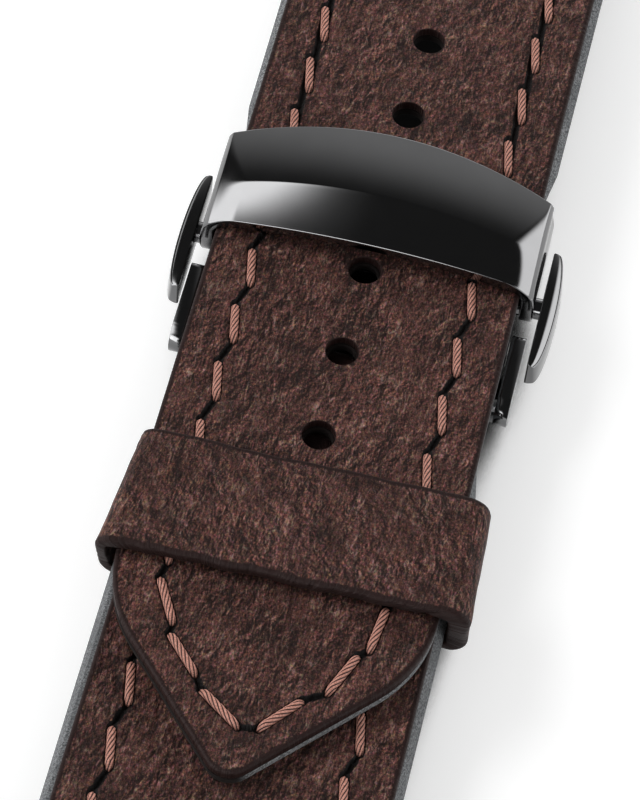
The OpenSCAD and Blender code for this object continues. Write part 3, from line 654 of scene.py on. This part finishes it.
def stitching(name, node, stitches, surface):
    """Stitches on a surface z(x, y), as one piece: each path dives into the leather at both ends, where the
    thread thins and is darkened with painted shade."""
    steps = np.linspace(0, 1, 41)
    dive = np.clip(np.abs(2 * steps - 1) - 0.72, 0, None) / 0.28
    radius = thread_r * (1 - 0.35 * dive ** 1.5)
    parts = []
    for k, (a, b) in enumerate(np.concatenate(stitches)):
        xy = a + (b - a) * steps[:, None]
        z = surface(xy[:, X], xy[:, Y]) - 0.05 - 0.45 * dive ** 1.6
        points, faces, deep = thread_tube(np.column_stack([xy, z]), radius)
        parts.append((points, faces + k * len(points), np.maximum(deep, np.repeat(dive, around) ** 3 * 0.8)))
    points, faces, deep = (np.concatenate(part) for part in zip(*parts))
    return piece(name, node, points, faces, {"deep": deep})


# Leather sheets

def rows_between(low, high):
    """Row places from low to high that hit every hole's middle: whole steps from the post."""
    inside = np.arange(np.ceil(low / fine + 0.5), np.floor(high / fine - 0.5) + 1) * fine
    return np.r_[low, inside, high]


def punch(x, y, places):
    """Bends a grid round each hole: rings of cells about its middle go from squares to circles, of which the
    inmost lies on the hole's edge. It gives x, y and which points fall inside a hole."""
    gone = np.zeros(x.shape, bool)
    centre = x.shape[1] // 2
    for hole_y in places:
        row = np.argmin(np.abs(y[:, centre] - hole_y))
        rows_at, columns_at = np.indices(x.shape) - np.array([row, centre])[:, None, None]
        step = np.maximum(np.abs(rows_at), np.abs(columns_at))
        side = np.abs(rows_at) > np.abs(columns_at)
        turn = np.where(side, columns_at, rows_at) / np.maximum(step, 1) * np.pi / 4
        angle = np.where(side, np.sign(rows_at) * (np.pi / 2 - turn),
                         np.where(columns_at >= 0, turn, np.pi - turn))
        far = np.clip((step - hole_ring) / (square_ring - hole_ring), 0, 1)
        reach = (hole_r + hole_round) + far * (1.15 * square_ring * fine - hole_r - hole_round)
        blend = smooth(far)
        zone = (step <= square_ring) & (step >= hole_ring)
        x = np.where(zone, reach * np.cos(angle) * (1 - blend) + x * blend, x)
        y = np.where(zone, (hole_y + reach * np.sin(angle)) * (1 - blend) + y * blend, y)
        gone |= step < hole_ring
    return x, y, gone


def kept(gone):
    """The faces of a grid with no point inside a hole."""
    quads = cells(*gone.shape).reshape(-1, 4)
    return quads[~gone.ravel()[quads].any(1)]


def holed_columns(half_width, seams):
    """Column places for each half width: a cell apart about the holes, then evenly on to the edge. With
    seams, they stand closer in a band about each seam."""
    near = half_width - seam_inset
    ends = [(near - seam_band, 9), (near + seam_band, 13), (half_width, 9)] if seams else [(half_width, 12)]
    right = np.tile(np.arange(core_columns) * fine, (len(half_width), 1))
    for end, count in ends:
        right = np.hstack([right, np.linspace(right[:, -1], end, count, axis=1)[:, 1:]])
    return np.hstack([-right[:, :0:-1], right])


def grid(rows, half_width, seams, places=()):
    """A grid across the strap from its rows and their half widths, bent round the holes at the given
    places: x and y of its points, and which ones are inside a hole."""
    x = holed_columns(half_width, seams)
    return punch(x, np.broadcast_to(rows[:, None], x.shape), places)


def leather(name, node, x, y, top, thickness, gone, stitches, layer, rim, bar=None):
    """An outer leather: a punched grid on the surface top(x, y), with ripples, slits and beds for its
    thread, and its underside one thickness below. Where bar is given, rows past it wrap round it."""
    height = top(x, y) + 0.03 * ripple(x, y, 1.5, 3) + 0.045 * ripple(x, y, 5.0, 4)
    groove = groove_field(x, y, stitches)
    height = (height - slit_depth * smooth(-groove / slit_slope)
              - bed_depth * smooth((bed_edge - groove) / bed_slope))
    outer, inner = points_of(x, y, height), points_of(x, y, top(x, y) - thickness)
    if bar:
        outer, inner = wrap(outer, *bar), wrap(inner, *bar)
    rounds = edge_round
    if gone.any():
        rounds = np.where(hole_dark(x, y) > 0, hole_round, edge_round)
    points, faces, source = shell(outer, inner, kept(gone), rounds, rounds, 0.08)
    return piece(name, node, points, faces, leather_marks(x, y, layer, groove, rim, source))


def leather_marks(x, y, layer, groove, rim, source):
    """What the leather's paint asks of each point: the flat place before it was bent, for the pattern, and
    the distances from slits and from edges. The first two sheets of a shell have them, its walls don't: they
    take the dark edge colour, which is edge paint on the outer edges and painted shade inside the holes."""
    wall = np.arange(len(source)) >= 2 * x.size
    return {"grain": points_of(x, y, 31.0 * layer).reshape(-1, 3)[source],
            "groove": np.where(wall, 1.0, groove.ravel()[source]),
            "rim": np.where(wall, 0.0, rim.ravel()[source])}


def hole_dark(x, y):
    """1 at the edges of the holes, fading to 0 from 0.1 to 0.3 mm outside them: where the holes' painted
    shade falls.
    """
    outside = np.min([np.hypot(x, y - place) - hole_r for place in upper_holes + lower_holes], 0)
    return smooth((0.3 - outside) / 0.2).ravel()


# The long half and its tail

def wrap(points, bar_y, way):
    """Turns points past a lug bar about it by their distance over the bar's height. way is 1 for the long
    half's bar and -1 for the short half's."""
    past = np.clip((points[..., Y] - bar_y) * way, 0, None)
    angle = np.clip(past / lug_bar_z, 0, np.pi * 0.96)
    reach = points[..., Z] - lug_bar_z
    y = np.where(past > 0, bar_y + way * reach * np.sin(angle), points[..., Y])
    z = np.where(past > 0, lug_bar_z + reach * np.cos(angle), points[..., Z])
    return points_of(points[..., X], y, z)


# How far leather runs round a lug bar: nearly half a turn of its outer surface
round_bar = np.pi * 0.93 * lug_bar_z
# Up to this y the long half's rows stand a fine cell apart, and beyond it by this step
holes_end, seam_step = 24.0, 0.16
# From this y to the clasp bar the short half's rows stand further apart
arms_y = -16.5

long_stitches = [seam_row(-1, 12.62 + stitch_pitch * np.arange(-2, 14), long_outer_hw),
                 seam_row(1, 13.9 + stitch_pitch * np.arange(-2, 13), long_outer_hw)]
near_holes = rows_between(split_y, holes_end)[:-1]
rows = np.r_[near_holes, np.arange(holes_end, long_bar_y, seam_step), long_bar_y,
             long_bar_y + np.linspace(0, round_bar, 14)[1:]]
x, y, gone = grid(rows, long_outer_hw(np.clip(rows, None, long_bar_y)) - edge_round, True, upper_holes)
leather("long_leather", "long_outer", x, y, long_top, outer_t, gone, long_stitches, 1,
        long_outer_hw(y) - np.abs(x), bar=(long_bar_y, 1))


# How far inside the outer leather's edge a lining's top ends, and how far a padding does
lining_inset, pad_inset = 0.05, 1.2
lining_step = 0.8


def lining(name, node, rows, top_hw, low_hw, low, thickness, places=()):
    """A lining whose sides slope out from the outer leather's width at its top to its own at its foot."""
    x, y, gone = grid(rows, top_hw(rows) - lining_inset, False, places)
    share = x / np.maximum(np.abs(x).max(1, keepdims=True), 1e-6)
    wide = share ** 2 * np.sign(share) * (low_hw(y) - top_hw(y))
    points, faces, source = shell(points_of(x, y, low(y) + thickness), points_of(x + wide, y, low(y)),
                                  kept(gone), hole_round, 0.06, 0.1)
    # The mark "hole" asks for the holes' painted shade
    return piece(name, node, points, faces,
                 {"hole": hole_dark(x, y)[source] if gone.any() else np.zeros(len(points))})


rows = np.r_[near_holes, np.arange(holes_end, long_bar_y, lining_step), long_bar_y]
lining("long_backing", "long_lining", rows, long_outer_hw, long_lining_hw, long_low, lining_t, upper_holes)


def cushion(name, node, rows, half_width, low, under_t, top, over_t):
    """Padding: a lens of felt between the leathers, of which under_t lies under it and over_t over it. It is
    closed to thin edges at its sides and its start."""
    x = np.linspace(-1, 1, 25) * (half_width(rows) - pad_inset)[:, None]
    y = np.broadcast_to(rows[:, None], x.shape)
    floor = low(y) + under_t + 0.03
    roof = np.maximum(top(x, y) - over_t - 0.1, floor + 0.05)
    sheet = shell(points_of(x, y, roof), points_of(x, y, floor), cells(*x.shape), 0.1, 0.02, 0.02)
    return piece(name, node, *sheet[:2])


# The pads keep this distance from the bars' middles
pad_gap = tube_r + 0.2
long_pad = cushion("long_pad", "long_padding", np.linspace(28, long_bar_y - pad_gap, 60), long_outer_hw,
                   long_low, lining_t, long_top, outer_t)

# The tail: its seam turns with the tip through these corners, along which its stitches' middles are counted
tip_corners = [(-tail_hw + seam_inset, -27.0), (-6.75, -32.2), (-4.6, -36.9), (0.35, -41.1), (4.9, -36.6),
               (6.85, -32.2), (tail_hw - seam_inset, -27.0)]
tip_middles = np.array([2.2, 6.5, 10.4, 14.7, 19.6, 24.3, 28.2, 32.2])
tail_stitches = [seam_row(-1, -8.17 - stitch_pitch * np.arange(-1, 5), lambda y: tail_hw),
                 seam_row(1, -6.9 - stitch_pitch * np.arange(0, 5), lambda y: tail_hw),
                 seam_along(tip_corners, tip_middles)]

nose_rows = nose_mid_y - (tip_nose_r - edge_round) * np.sin(np.linspace(0, 1.50, 16))[1:]
rows = np.r_[nose_rows[::-1], rows_between(nose_mid_y, split_y)]
xs, ys = tip_outline(edge_round)
half = np.interp(rows, ys, xs)[:, None]
# At the tip the columns share out the width. Beside the holes they stand a cell apart, so that the rings
# round a hole are square.
last_column = 66
column = np.arange(-last_column, last_column + 1)
core = np.clip(column, -core_columns, core_columns)
outside = (column - core) / (last_column - core_columns)
beside_holes = core * fine + outside * (half - core_columns * fine)
blend = smooth((rows - tip_y - 8) / 10)[:, None]
x = column / last_column * half * (1 - blend) + beside_holes * blend
x, y, gone = punch(x, np.broadcast_to(rows[:, None], x.shape), lower_holes)
rim = tail_rim(x, y)
leather("tail_leather", "tail_outer", x, y, lambda x, y: tail_top, outer_t, gone, tail_stitches, 2, rim)
points, faces, source = shell(points_of(x, y, tail_mid), points_of(x, y, tail_low), kept(gone),
                              edge_round, 0.05, 0.12, 3)
# Near its edge on the left flank and round the tip the lining is darkened too, with the near-black of the
# holes' painted shade
painted = (smooth((0.45 - rim) / 0.2) * smooth((1.4 - x) / 0.8)).ravel()
piece("tail_backing", "tail_lining", points, faces,
      {"hole": np.maximum(hole_dark(x, y), painted)[source]})
stitching("long_thread", "long_stitching", long_stitches, long_top)
stitching("tail_thread", "tail_stitching", tail_stitches, lambda x, y: tail_top)

# The short half

short_stitches = [seam_row(-1, -38.5 - stitch_pitch * np.arange(-5, 9), short_outer_hw),
                  seam_row(1, -38.2 - stitch_pitch * np.arange(-5, 9), short_outer_hw)]
rows = np.r_[short_bar_y - np.linspace(round_bar, 0, 14)[:-1], np.arange(short_bar_y, arms_y, seam_step),
             np.arange(arms_y, clasp_bar_y, 0.3),
             clasp_bar_y + np.sin(np.linspace(0, 1.4, 8)) * short_layer]
x, y, gone = grid(rows, short_outer_hw(np.clip(rows, short_bar_y, clasp_bar_y)) - edge_round, True)
rim = short_outer_hw(np.clip(y, short_bar_y, None)) - np.abs(x)
# Painted shade: the leather under the tail's holes, which lies in their shade, is darkened within this radius
# of them
hole_shade_r = 1.3
hole_shade_distance = np.min([np.hypot(x, y - place) for place in lower_holes], 0)
# The rim mark carries this painted shade beside the painted edges
rim = np.minimum(rim, np.clip(hole_shade_distance - hole_shade_r, 0, None))
# The left edge is cut back a little, so that more of the lining shows beside it
x = x + left_trim * smooth((-x - 7.0) / 2.5)


def short_face(x, y):
    """The short half's top, falling round the clasp bar at its end."""
    past = np.clip((y - clasp_bar_y) / short_layer, 0, 1)
    return short_top(x, np.minimum(y, clasp_bar_y)) - short_layer * (1 - np.sqrt(1 - past ** 2))


leather("short_leather", "short_outer", x, y, short_face, short_layer - 0.02, gone, short_stitches, 3, rim,
        bar=(short_bar_y, -1))
rows = np.r_[np.arange(short_bar_y, clasp_bar_y, lining_step), clasp_bar_y + 0.6]
lining("short_backing", "short_lining", rows, short_outer_hw, short_lining_hw, short_low_at, short_layer)
short_pad = cushion("short_pad", "short_padding", np.linspace(short_bar_y + pad_gap, -58.6, 50),
                    short_outer_hw, short_low_at, short_layer, short_top, short_layer)
stitching("short_thread", "short_stitching", short_stitches, short_top)

# The keeper

keeper_hw = span("keeper_loop", X)[1]
keeper_low, keeper_top = span("keeper_loop", Z)
keeper_back, keeper_front = span("keeper_loop", Y)
keeper_t = 0.8
keeper_corner_r, keeper_inner_r, keeper_round = 1.15, 0.3, 0.28
# Each edge's draw towards the underside, and on the top its way forwards at the left and what the right adds
back_drawn, back_ahead, back_tilt = 1.7, 0.45, 0.38
front_drawn, front_ahead, front_tilt = 0.4, 0.05, 0.20


def rounded_box(count, half, low, high, radius):
    """Points round a box with rounded corners, seen along the strap: leftwards along the top, down, back
    along the bottom and up. The points' distance along it is given too."""
    corners = [(half - radius, high - radius, 0), (-half + radius, high - radius, 90),
               (-half + radius, low + radius, 180), (half - radius, low + radius, 270)]
    arc = np.radians(np.linspace(0, 90, 17))
    path = np.concatenate([points_of(cx + radius * np.cos(np.radians(a) + arc),
                                     cz + radius * np.sin(np.radians(a) + arc)) for cx, cz, a in corners])
    path = np.vstack([path, path[:1]])
    run = np.r_[0, np.cumsum(np.hypot(*np.diff(path, axis=0).T))]
    s = np.linspace(0, run[-1], count, endpoint=False)
    return np.interp(s, run, path[:, 0]), np.interp(s, run, path[:, 1]), s


def keeper():
    """The keeper's band: the rounded box's outline carried along the strap, with small waves in its edges
    and its outer surface."""
    count = 380
    ox, oz, s = rounded_box(count, keeper_hw, keeper_low, keeper_top, keeper_corner_r)
    ix, iz, _ = rounded_box(count, keeper_hw - keeper_t, keeper_low + keeper_t, keeper_top - keeper_t,
                            keeper_inner_r)
    s2, share = np.meshgrid(s, np.linspace(0, 1, 60), indexing="ij")
    back = keeper_back + keeper_round + 0.10 * ripple(s, s * 0, 1.9, 11)
    back = back + 0.06 * ripple(s, s * 0 + 5, 0.7, 12)
    front = keeper_front - keeper_round + 0.10 * ripple(s, s * 0 + 9, 2.3, 13)
    drawn = smooth((keeper_top - 0.6 - oz) / (keeper_top - keeper_low - 1.2))
    tilt = (ox / keeper_hw + 1) / 2
    back = back + back_drawn * drawn + (back_ahead + back_tilt * tilt) * (1 - drawn)
    front = front - front_drawn * drawn + (front_ahead + front_tilt * tilt) * (1 - drawn)
    y = back[:, None] * (1 - share) + front[:, None] * share
    lump = 0.07 * ripple(s2, y, 1.3, 14) + 0.05 * ripple(s2, y, 4.0, 15) - 0.06
    outward = unit(points_of(ox - ix, oz - iz))
    # Worn askew: the left side is drawn in at its front edge, and the right side is pushed out
    left, right = (np.clip(way * ox / keeper_hw, 0, 1)[:, None] ** 2 for way in (-1, 1))
    skew = 0.75 * left * share + right * (0.25 + 0.30 * (1 - share))
    outer = points_of(ox[:, None] + outward[:, :1] * lump + skew, y, oz[:, None] + outward[:, 1:] * lump)
    points, faces, source = shell(outer, points_of(ix[:, None], y, iz[:, None]), cells(count, 60, True),
                                  keeper_round, 0.3, 0.15)
    rim = np.minimum(y - y[:, :1], y[:, -1:] - y) + keeper_round - 0.05
    return piece("keeper_band", "keeper_loop", points, faces,
                 leather_marks(s2, y, 4, np.ones(y.shape), rim, source))


keeper()

# The clasp's cover and buttons

cover_front, cover_back = -5.9, span("buckle_cover", Y)[1]
cover_bulge = 1.0
arch_top = span("buckle_cover", Z)[1]
facet_slope = 0.78
crease_l, front_fall, back_fall, arch_fall = 2.6, 1.9, 0.5, 2.5
# The facets' width at the back corners, and how much it grows to the front
facet_w, facet_growth = 0.08, 1.22
# The narrow facet on the shoulders' edges: its slope and its cut
edge_slope, edge_cut = 1.5, 0.20
# The cheeks lean out by this much below the cover's shoulders
cheek_lean = 0.22
# The sheet's rounded edges, its cheeks' thickness, and the arc that ends them below
cover_round, cheek_t, cheek_r = 0.14, 0.9, 3.5


def soft_least(a, b, width):
    """The lesser of two heights, rounded over where they are within a width of each other."""
    h = np.clip(0.5 + 0.5 * (b - a) / width, 0, 1)
    return b * (1 - h) + a * h - width * h * (1 - h)


def cover_faces(x, y, soft=0.07):
    """The arch, a parabola, falls from its crease forwards along a ruled face and backwards along a curve."""
    crease_y = cover_front + crease_l
    arch = arch_top - arch_fall * (x / cheek_out) ** 2
    behind = np.clip(y - crease_y, 0, None) / (cover_back - crease_y)
    back = arch - back_fall * behind ** 2
    front = arch + 0.02 - front_fall * (crease_y - y) / crease_l * (1 - 0.8 * (x / cheek_out) ** 2)
    return soft_least(back, front, soft)


def cover_height(x, y):
    """The faces end in sloping facets, which start from nothing at the back corners and widen forwards, and
    a narrow steeper one breaks the shoulders' edges."""
    shoulder = cheek_out - cheek_lean
    share = np.clip((cover_back - cover_bulge - y) / (cover_back - cover_bulge - cover_front), 0, 1)
    wide = facet_w + facet_growth * share
    start = cover_faces(shoulder - wide, y, 1.0)
    facet = start + facet_slope * (shoulder - wide - np.abs(x))
    edge = start - facet_slope * wide + edge_slope * (shoulder - np.abs(x)) - edge_cut
    return soft_least(soft_least(cover_faces(x, y), facet, 0.03 + 0.40 * share), edge, 0.03)


def cover():
    """The cover as one sheet: up the left cheek, over the arch and down the right cheek, which end below in
    arcs. Its inner side is the opening for the strap, under a parabola."""
    r, middle_y = cover_round, cover_front + cheek_r
    shoulder, cheek_in = cheek_out - cheek_lean, cheek_out - cheek_t
    over = np.linspace(-1, 1, 261) * shoulder
    share = np.linspace(0, 1, 121)[:, None]
    # The back edge bulges at the middle along a parabola
    back = cover_back - cover_bulge * (over / cheek_out) ** 2
    y = (cover_front + r) * (1 - share) + (back - r) * share
    top = cover_height(over, y)
    x_in = over * cheek_in / shoulder
    opening = tail_top + 0.1 + 1.1 * (1 - (x_in / cheek_in) ** 2)
    arch, vault = points_of(over, y, top), points_of(x_in, y, np.minimum(opening, top - 0.3))
    up = np.linspace(0, 1, 31)[:-1]
    sheets = [(arch, vault)]
    for side, column in ((-1, 0), (1, -1)):
        y_side = y[:, [column]]
        foot = tail_low - np.sqrt(np.clip((cheek_r - r) ** 2 - (y_side - middle_y) ** 2, 0, None))
        z = foot + (top[:, [column]] - foot) * up
        x = side * (cheek_out - cheek_lean * smooth((z - tail_top + 1.3) / 1.7))
        z_in = foot + (vault[:, [column], Z] - foot) * up
        cheek = points_of(x, y_side, z), points_of(side * cheek_in, y_side, z_in)
        if side < 0:
            sheets.insert(0, cheek)
        else:
            sheets.append([half[:, ::-1] for half in cheek])
    outer, inner = (np.concatenate(each, 1) for each in zip(*sheets))
    sheet = shell(outer, inner, cells(*outer.shape[:2]), r, r, 0.1, 5)
    return piece("clasp_cover", "buckle_cover", *sheet[:2])


cover()


def button(side):
    """A half-moon button: a grid whose u runs along the strap and v outwards to an arc. Its top falls away
    outwards with a power of v, and its outer wall leans out to its foot. side is -1 for the left one."""
    node = "push_button_left" if side < 0 else "push_button_right"
    inner, outmost = sorted(np.abs(span(node, X)))
    bulge = outmost - inner
    back, front = span(node, Y)
    low, high = span(node, Z)
    r, lean, fall = 0.10, 0.16, 0.52
    half = (front - back) / 2 - r
    u, v = np.meshgrid(np.sin(np.linspace(-np.pi / 2, np.pi / 2, 91)) * 0.994, np.linspace(0, 1, 41))
    reach = np.sqrt(1 - u ** 2) * (bulge - 0.30 - r - lean) + 0.20
    x = inner + r + reach * v
    y = (back + front) / 2 + u * half
    top = points_of(side * x, y, high - fall * v ** 2.4 * reach / bulge - 0.10 * np.abs(u) ** 3)
    under = points_of(side * (x + lean * v), y, low + 0.15 * v ** 2)
    sheet = shell(top, under, cells(*u.shape)[..., ::-side], r, 0.10, 0.12, 5)
    return piece(node.replace("push_button", "button"), node, *sheet[:2])


button(-1)
button(1)


def softened(name, node, width):
    """A copy of a CAD node's mesh with its doubles merged, its flat faces made whole and its edges broken
    by a small bevel."""
    work = bmesh.new()
    work.from_mesh(frame["nodes"][node].data)
    bmesh.ops.remove_doubles(work, verts=work.verts, dist=2e-6)
    bmesh.ops.dissolve_limit(work, angle_limit=np.radians(1.0), verts=work.verts, edges=work.edges)
    data = bpy.data.meshes.new(name)
    work.to_mesh(data)
    work.free()
    data.polygons.foreach_set("use_smooth", np.ones(len(data.polygons), bool))
    edges = dressed(name, data, node).modifiers.new("edges", "BEVEL")
    edges.width, edges.segments, edges.limit_method = width / MM, 2, "ANGLE"
    edges.angle_limit, edges.harden_normals = np.radians(35), True


for node, name, width in (("latch_housing", "housing", 0.09), ("lower_blade", "frame_blade", 0.09),
                          ("upper_blade", "arm_blade", 0.17), ("latch_hook_left", "hook_left", 0.12),
                          ("latch_hook_right", "hook_right", 0.12)):
    softened(name, node, width)

# The other steel pieces keep their shape and get their finish
for node, thing in frame["nodes"].items():
    if slots.get(node, "").endswith("steel") and not thing.hide_render:
        for place in thing.material_slots:
            place.material = paints[slots[node]]

# Floor, light and camera

def floor_paint():
    """A pale floor that keeps the shadow. For the camera and in mirrors it glows a little, so that it is
    white where the light is full. Where something covers it closely, as ambient occlusion finds, the glow
    goes and its colour is painted near-black: a painted shade."""
    p = Paint("pale_floor")
    seen = p.node("LightPath", out=0)
    mirrored = p.node("LightPath", out=3)
    through = p.node("LightPath", out=6)
    clear = p.node("AmbientOcclusion", {"samples": 40}, {"Distance": 0.022}, out=1)
    open_floor = p.rise(clear, 0.36, 0.50)
    # Painted shade: near-black floor colour where something covers it closely
    matt = p.node("BsdfDiffuse", None, {"Color": p.mix(open_floor, (0.02, 0.02, 0.02), (0.72, 0.72, 0.72))})
    glow = p.node("Emission", None, {"Color": WHITE, "Strength": open_floor * 0.45})
    both = p.node("AddShader", None, {0: matt, 1: glow})
    wanted = p.node("Math", {"operation": "ADD", "use_clamp": True}, {0: seen + mirrored, 1: through})
    return p.end_in(p.node("MixShader", None, {0: wanted, 1: matt, 2: both}))


# A square of six metres
sheet = bpy.data.meshes.new("floor")
sheet.from_pydata([(-3, -3, 0), (3, -3, 0), (3, 3, 0), (-3, 3, 0)], [], [(0, 1, 2, 3)])
sheet.materials.append(floor_paint())
placed("floor", sheet)


def studio(world):
    """The room: white for the camera, a plain level on matt surfaces, and in mirrors a dark room with soft
    panels: a dim one behind the object, a bright one on the left and low ones on the right and in front."""
    p = Paint("studio", world)
    toward = p.node("TexCoord", out="Generated")
    x, y, z = (p.node("SeparateXYZ", None, {0: toward}, out=axis) for axis in (X, Y, Z))
    behind = p.rise(y, 0.60, 0.84) * 0.60 + p.rise(y, 0.93, 0.98) * 2.4
    left = p.rise(0.0 - x, 0.12, 0.55) ** 3.0 * 3.9 + p.rise(0.0 - x, 0.08, 0.42) * 0.35
    left = left * p.rise(y, 0.45, 0.25)
    low_right = p.rise(x, 0.58, 0.74) * p.rise(z, 0.62, 0.50) * 3.3
    low_front = p.rise(y, -0.80, -0.90) * p.rise(x, 0.15, -0.02) * p.rise(z, 0.50, 0.40) * 5.0
    panels = behind + left + low_right + low_front + 0.045
    mirror = p.node("Background", None, {"Color": WHITE, "Strength": panels})
    matt = p.node("Background", None, {"Color": (0.50, 0.50, 0.50, 1.0)})
    white = p.node("Background", None, {"Color": WHITE})
    glossy = p.node("LightPath", out=3)
    seen = p.node("LightPath", out=0)
    lit = p.node("MixShader", None, {0: glossy, 1: matt, 2: mirror})
    p.end_in(p.node("MixShader", None, {0: seen, 1: lit, 2: white}))


bpy.context.scene.world = bpy.data.worlds.new("studio")
studio(bpy.context.scene.world)


def softbox(name, place, aim, size, power):
    """A lamp of a size at a place in mm, turned to another. Mirrors see the studio's panels in its stead."""
    light = bpy.data.lights.new(name, "AREA")
    light.shape, light.size, light.size_y = "RECTANGLE", size[0] / MM, size[1] / MM
    light.energy = power
    made = placed(name, light)
    made.location = Vector(place) / MM
    made.rotation_euler = (Vector(aim) - Vector(place)).to_track_quat("-Z", "Y").to_euler()
    made.visible_glossy = False


softbox("key", (-420, 120, 520), (0, -10, 5), (320, 320), 2.2)
softbox("back", (60, 620, 300), (0, -5, 8), (420, 200), 1.2)
softbox("fill", (380, -320, 420), (0, -15, 5), (300, 300), 0.5)

# The camera was fitted to the holes, the tip and the leather's edges: a direction, a turn and a distance
azimuth, elevation, roll = np.radians([7.562, 56.16, 6.665])
camera_distance = 226.7
camera_aim = np.array([-0.513, -16.972 + POST_Y, tail_top])
focal_px, frame_px, sensor = 3648.9, 800, 36.0
right = np.array([np.cos(azimuth), np.sin(azimuth), 0.0])
back = np.array([*np.cos(elevation) * np.array([np.sin(azimuth), -np.cos(azimuth)]), np.sin(elevation)])
up = np.cross(back, right)
turned_right = right * np.cos(roll) + up * np.sin(roll)
turned_up = up * np.cos(roll) - right * np.sin(roll)
lens = bpy.data.cameras.new("camera")
lens.sensor_width, lens.sensor_fit, lens.lens = sensor, "AUTO", focal_px * sensor / frame_px
lens.clip_start, lens.clip_end = 0.005, 20.0
camera = placed("camera", lens)
spot = (camera_aim + back * camera_distance) / MM
camera.matrix_world = Matrix([(*row, place) for row, place in
                              zip(np.column_stack([turned_right, turned_up, back]), spot)] + [(0, 0, 0, 1)])
bpy.context.scene.camera = camera
bpy.context.scene.view_settings.view_transform = "Standard"
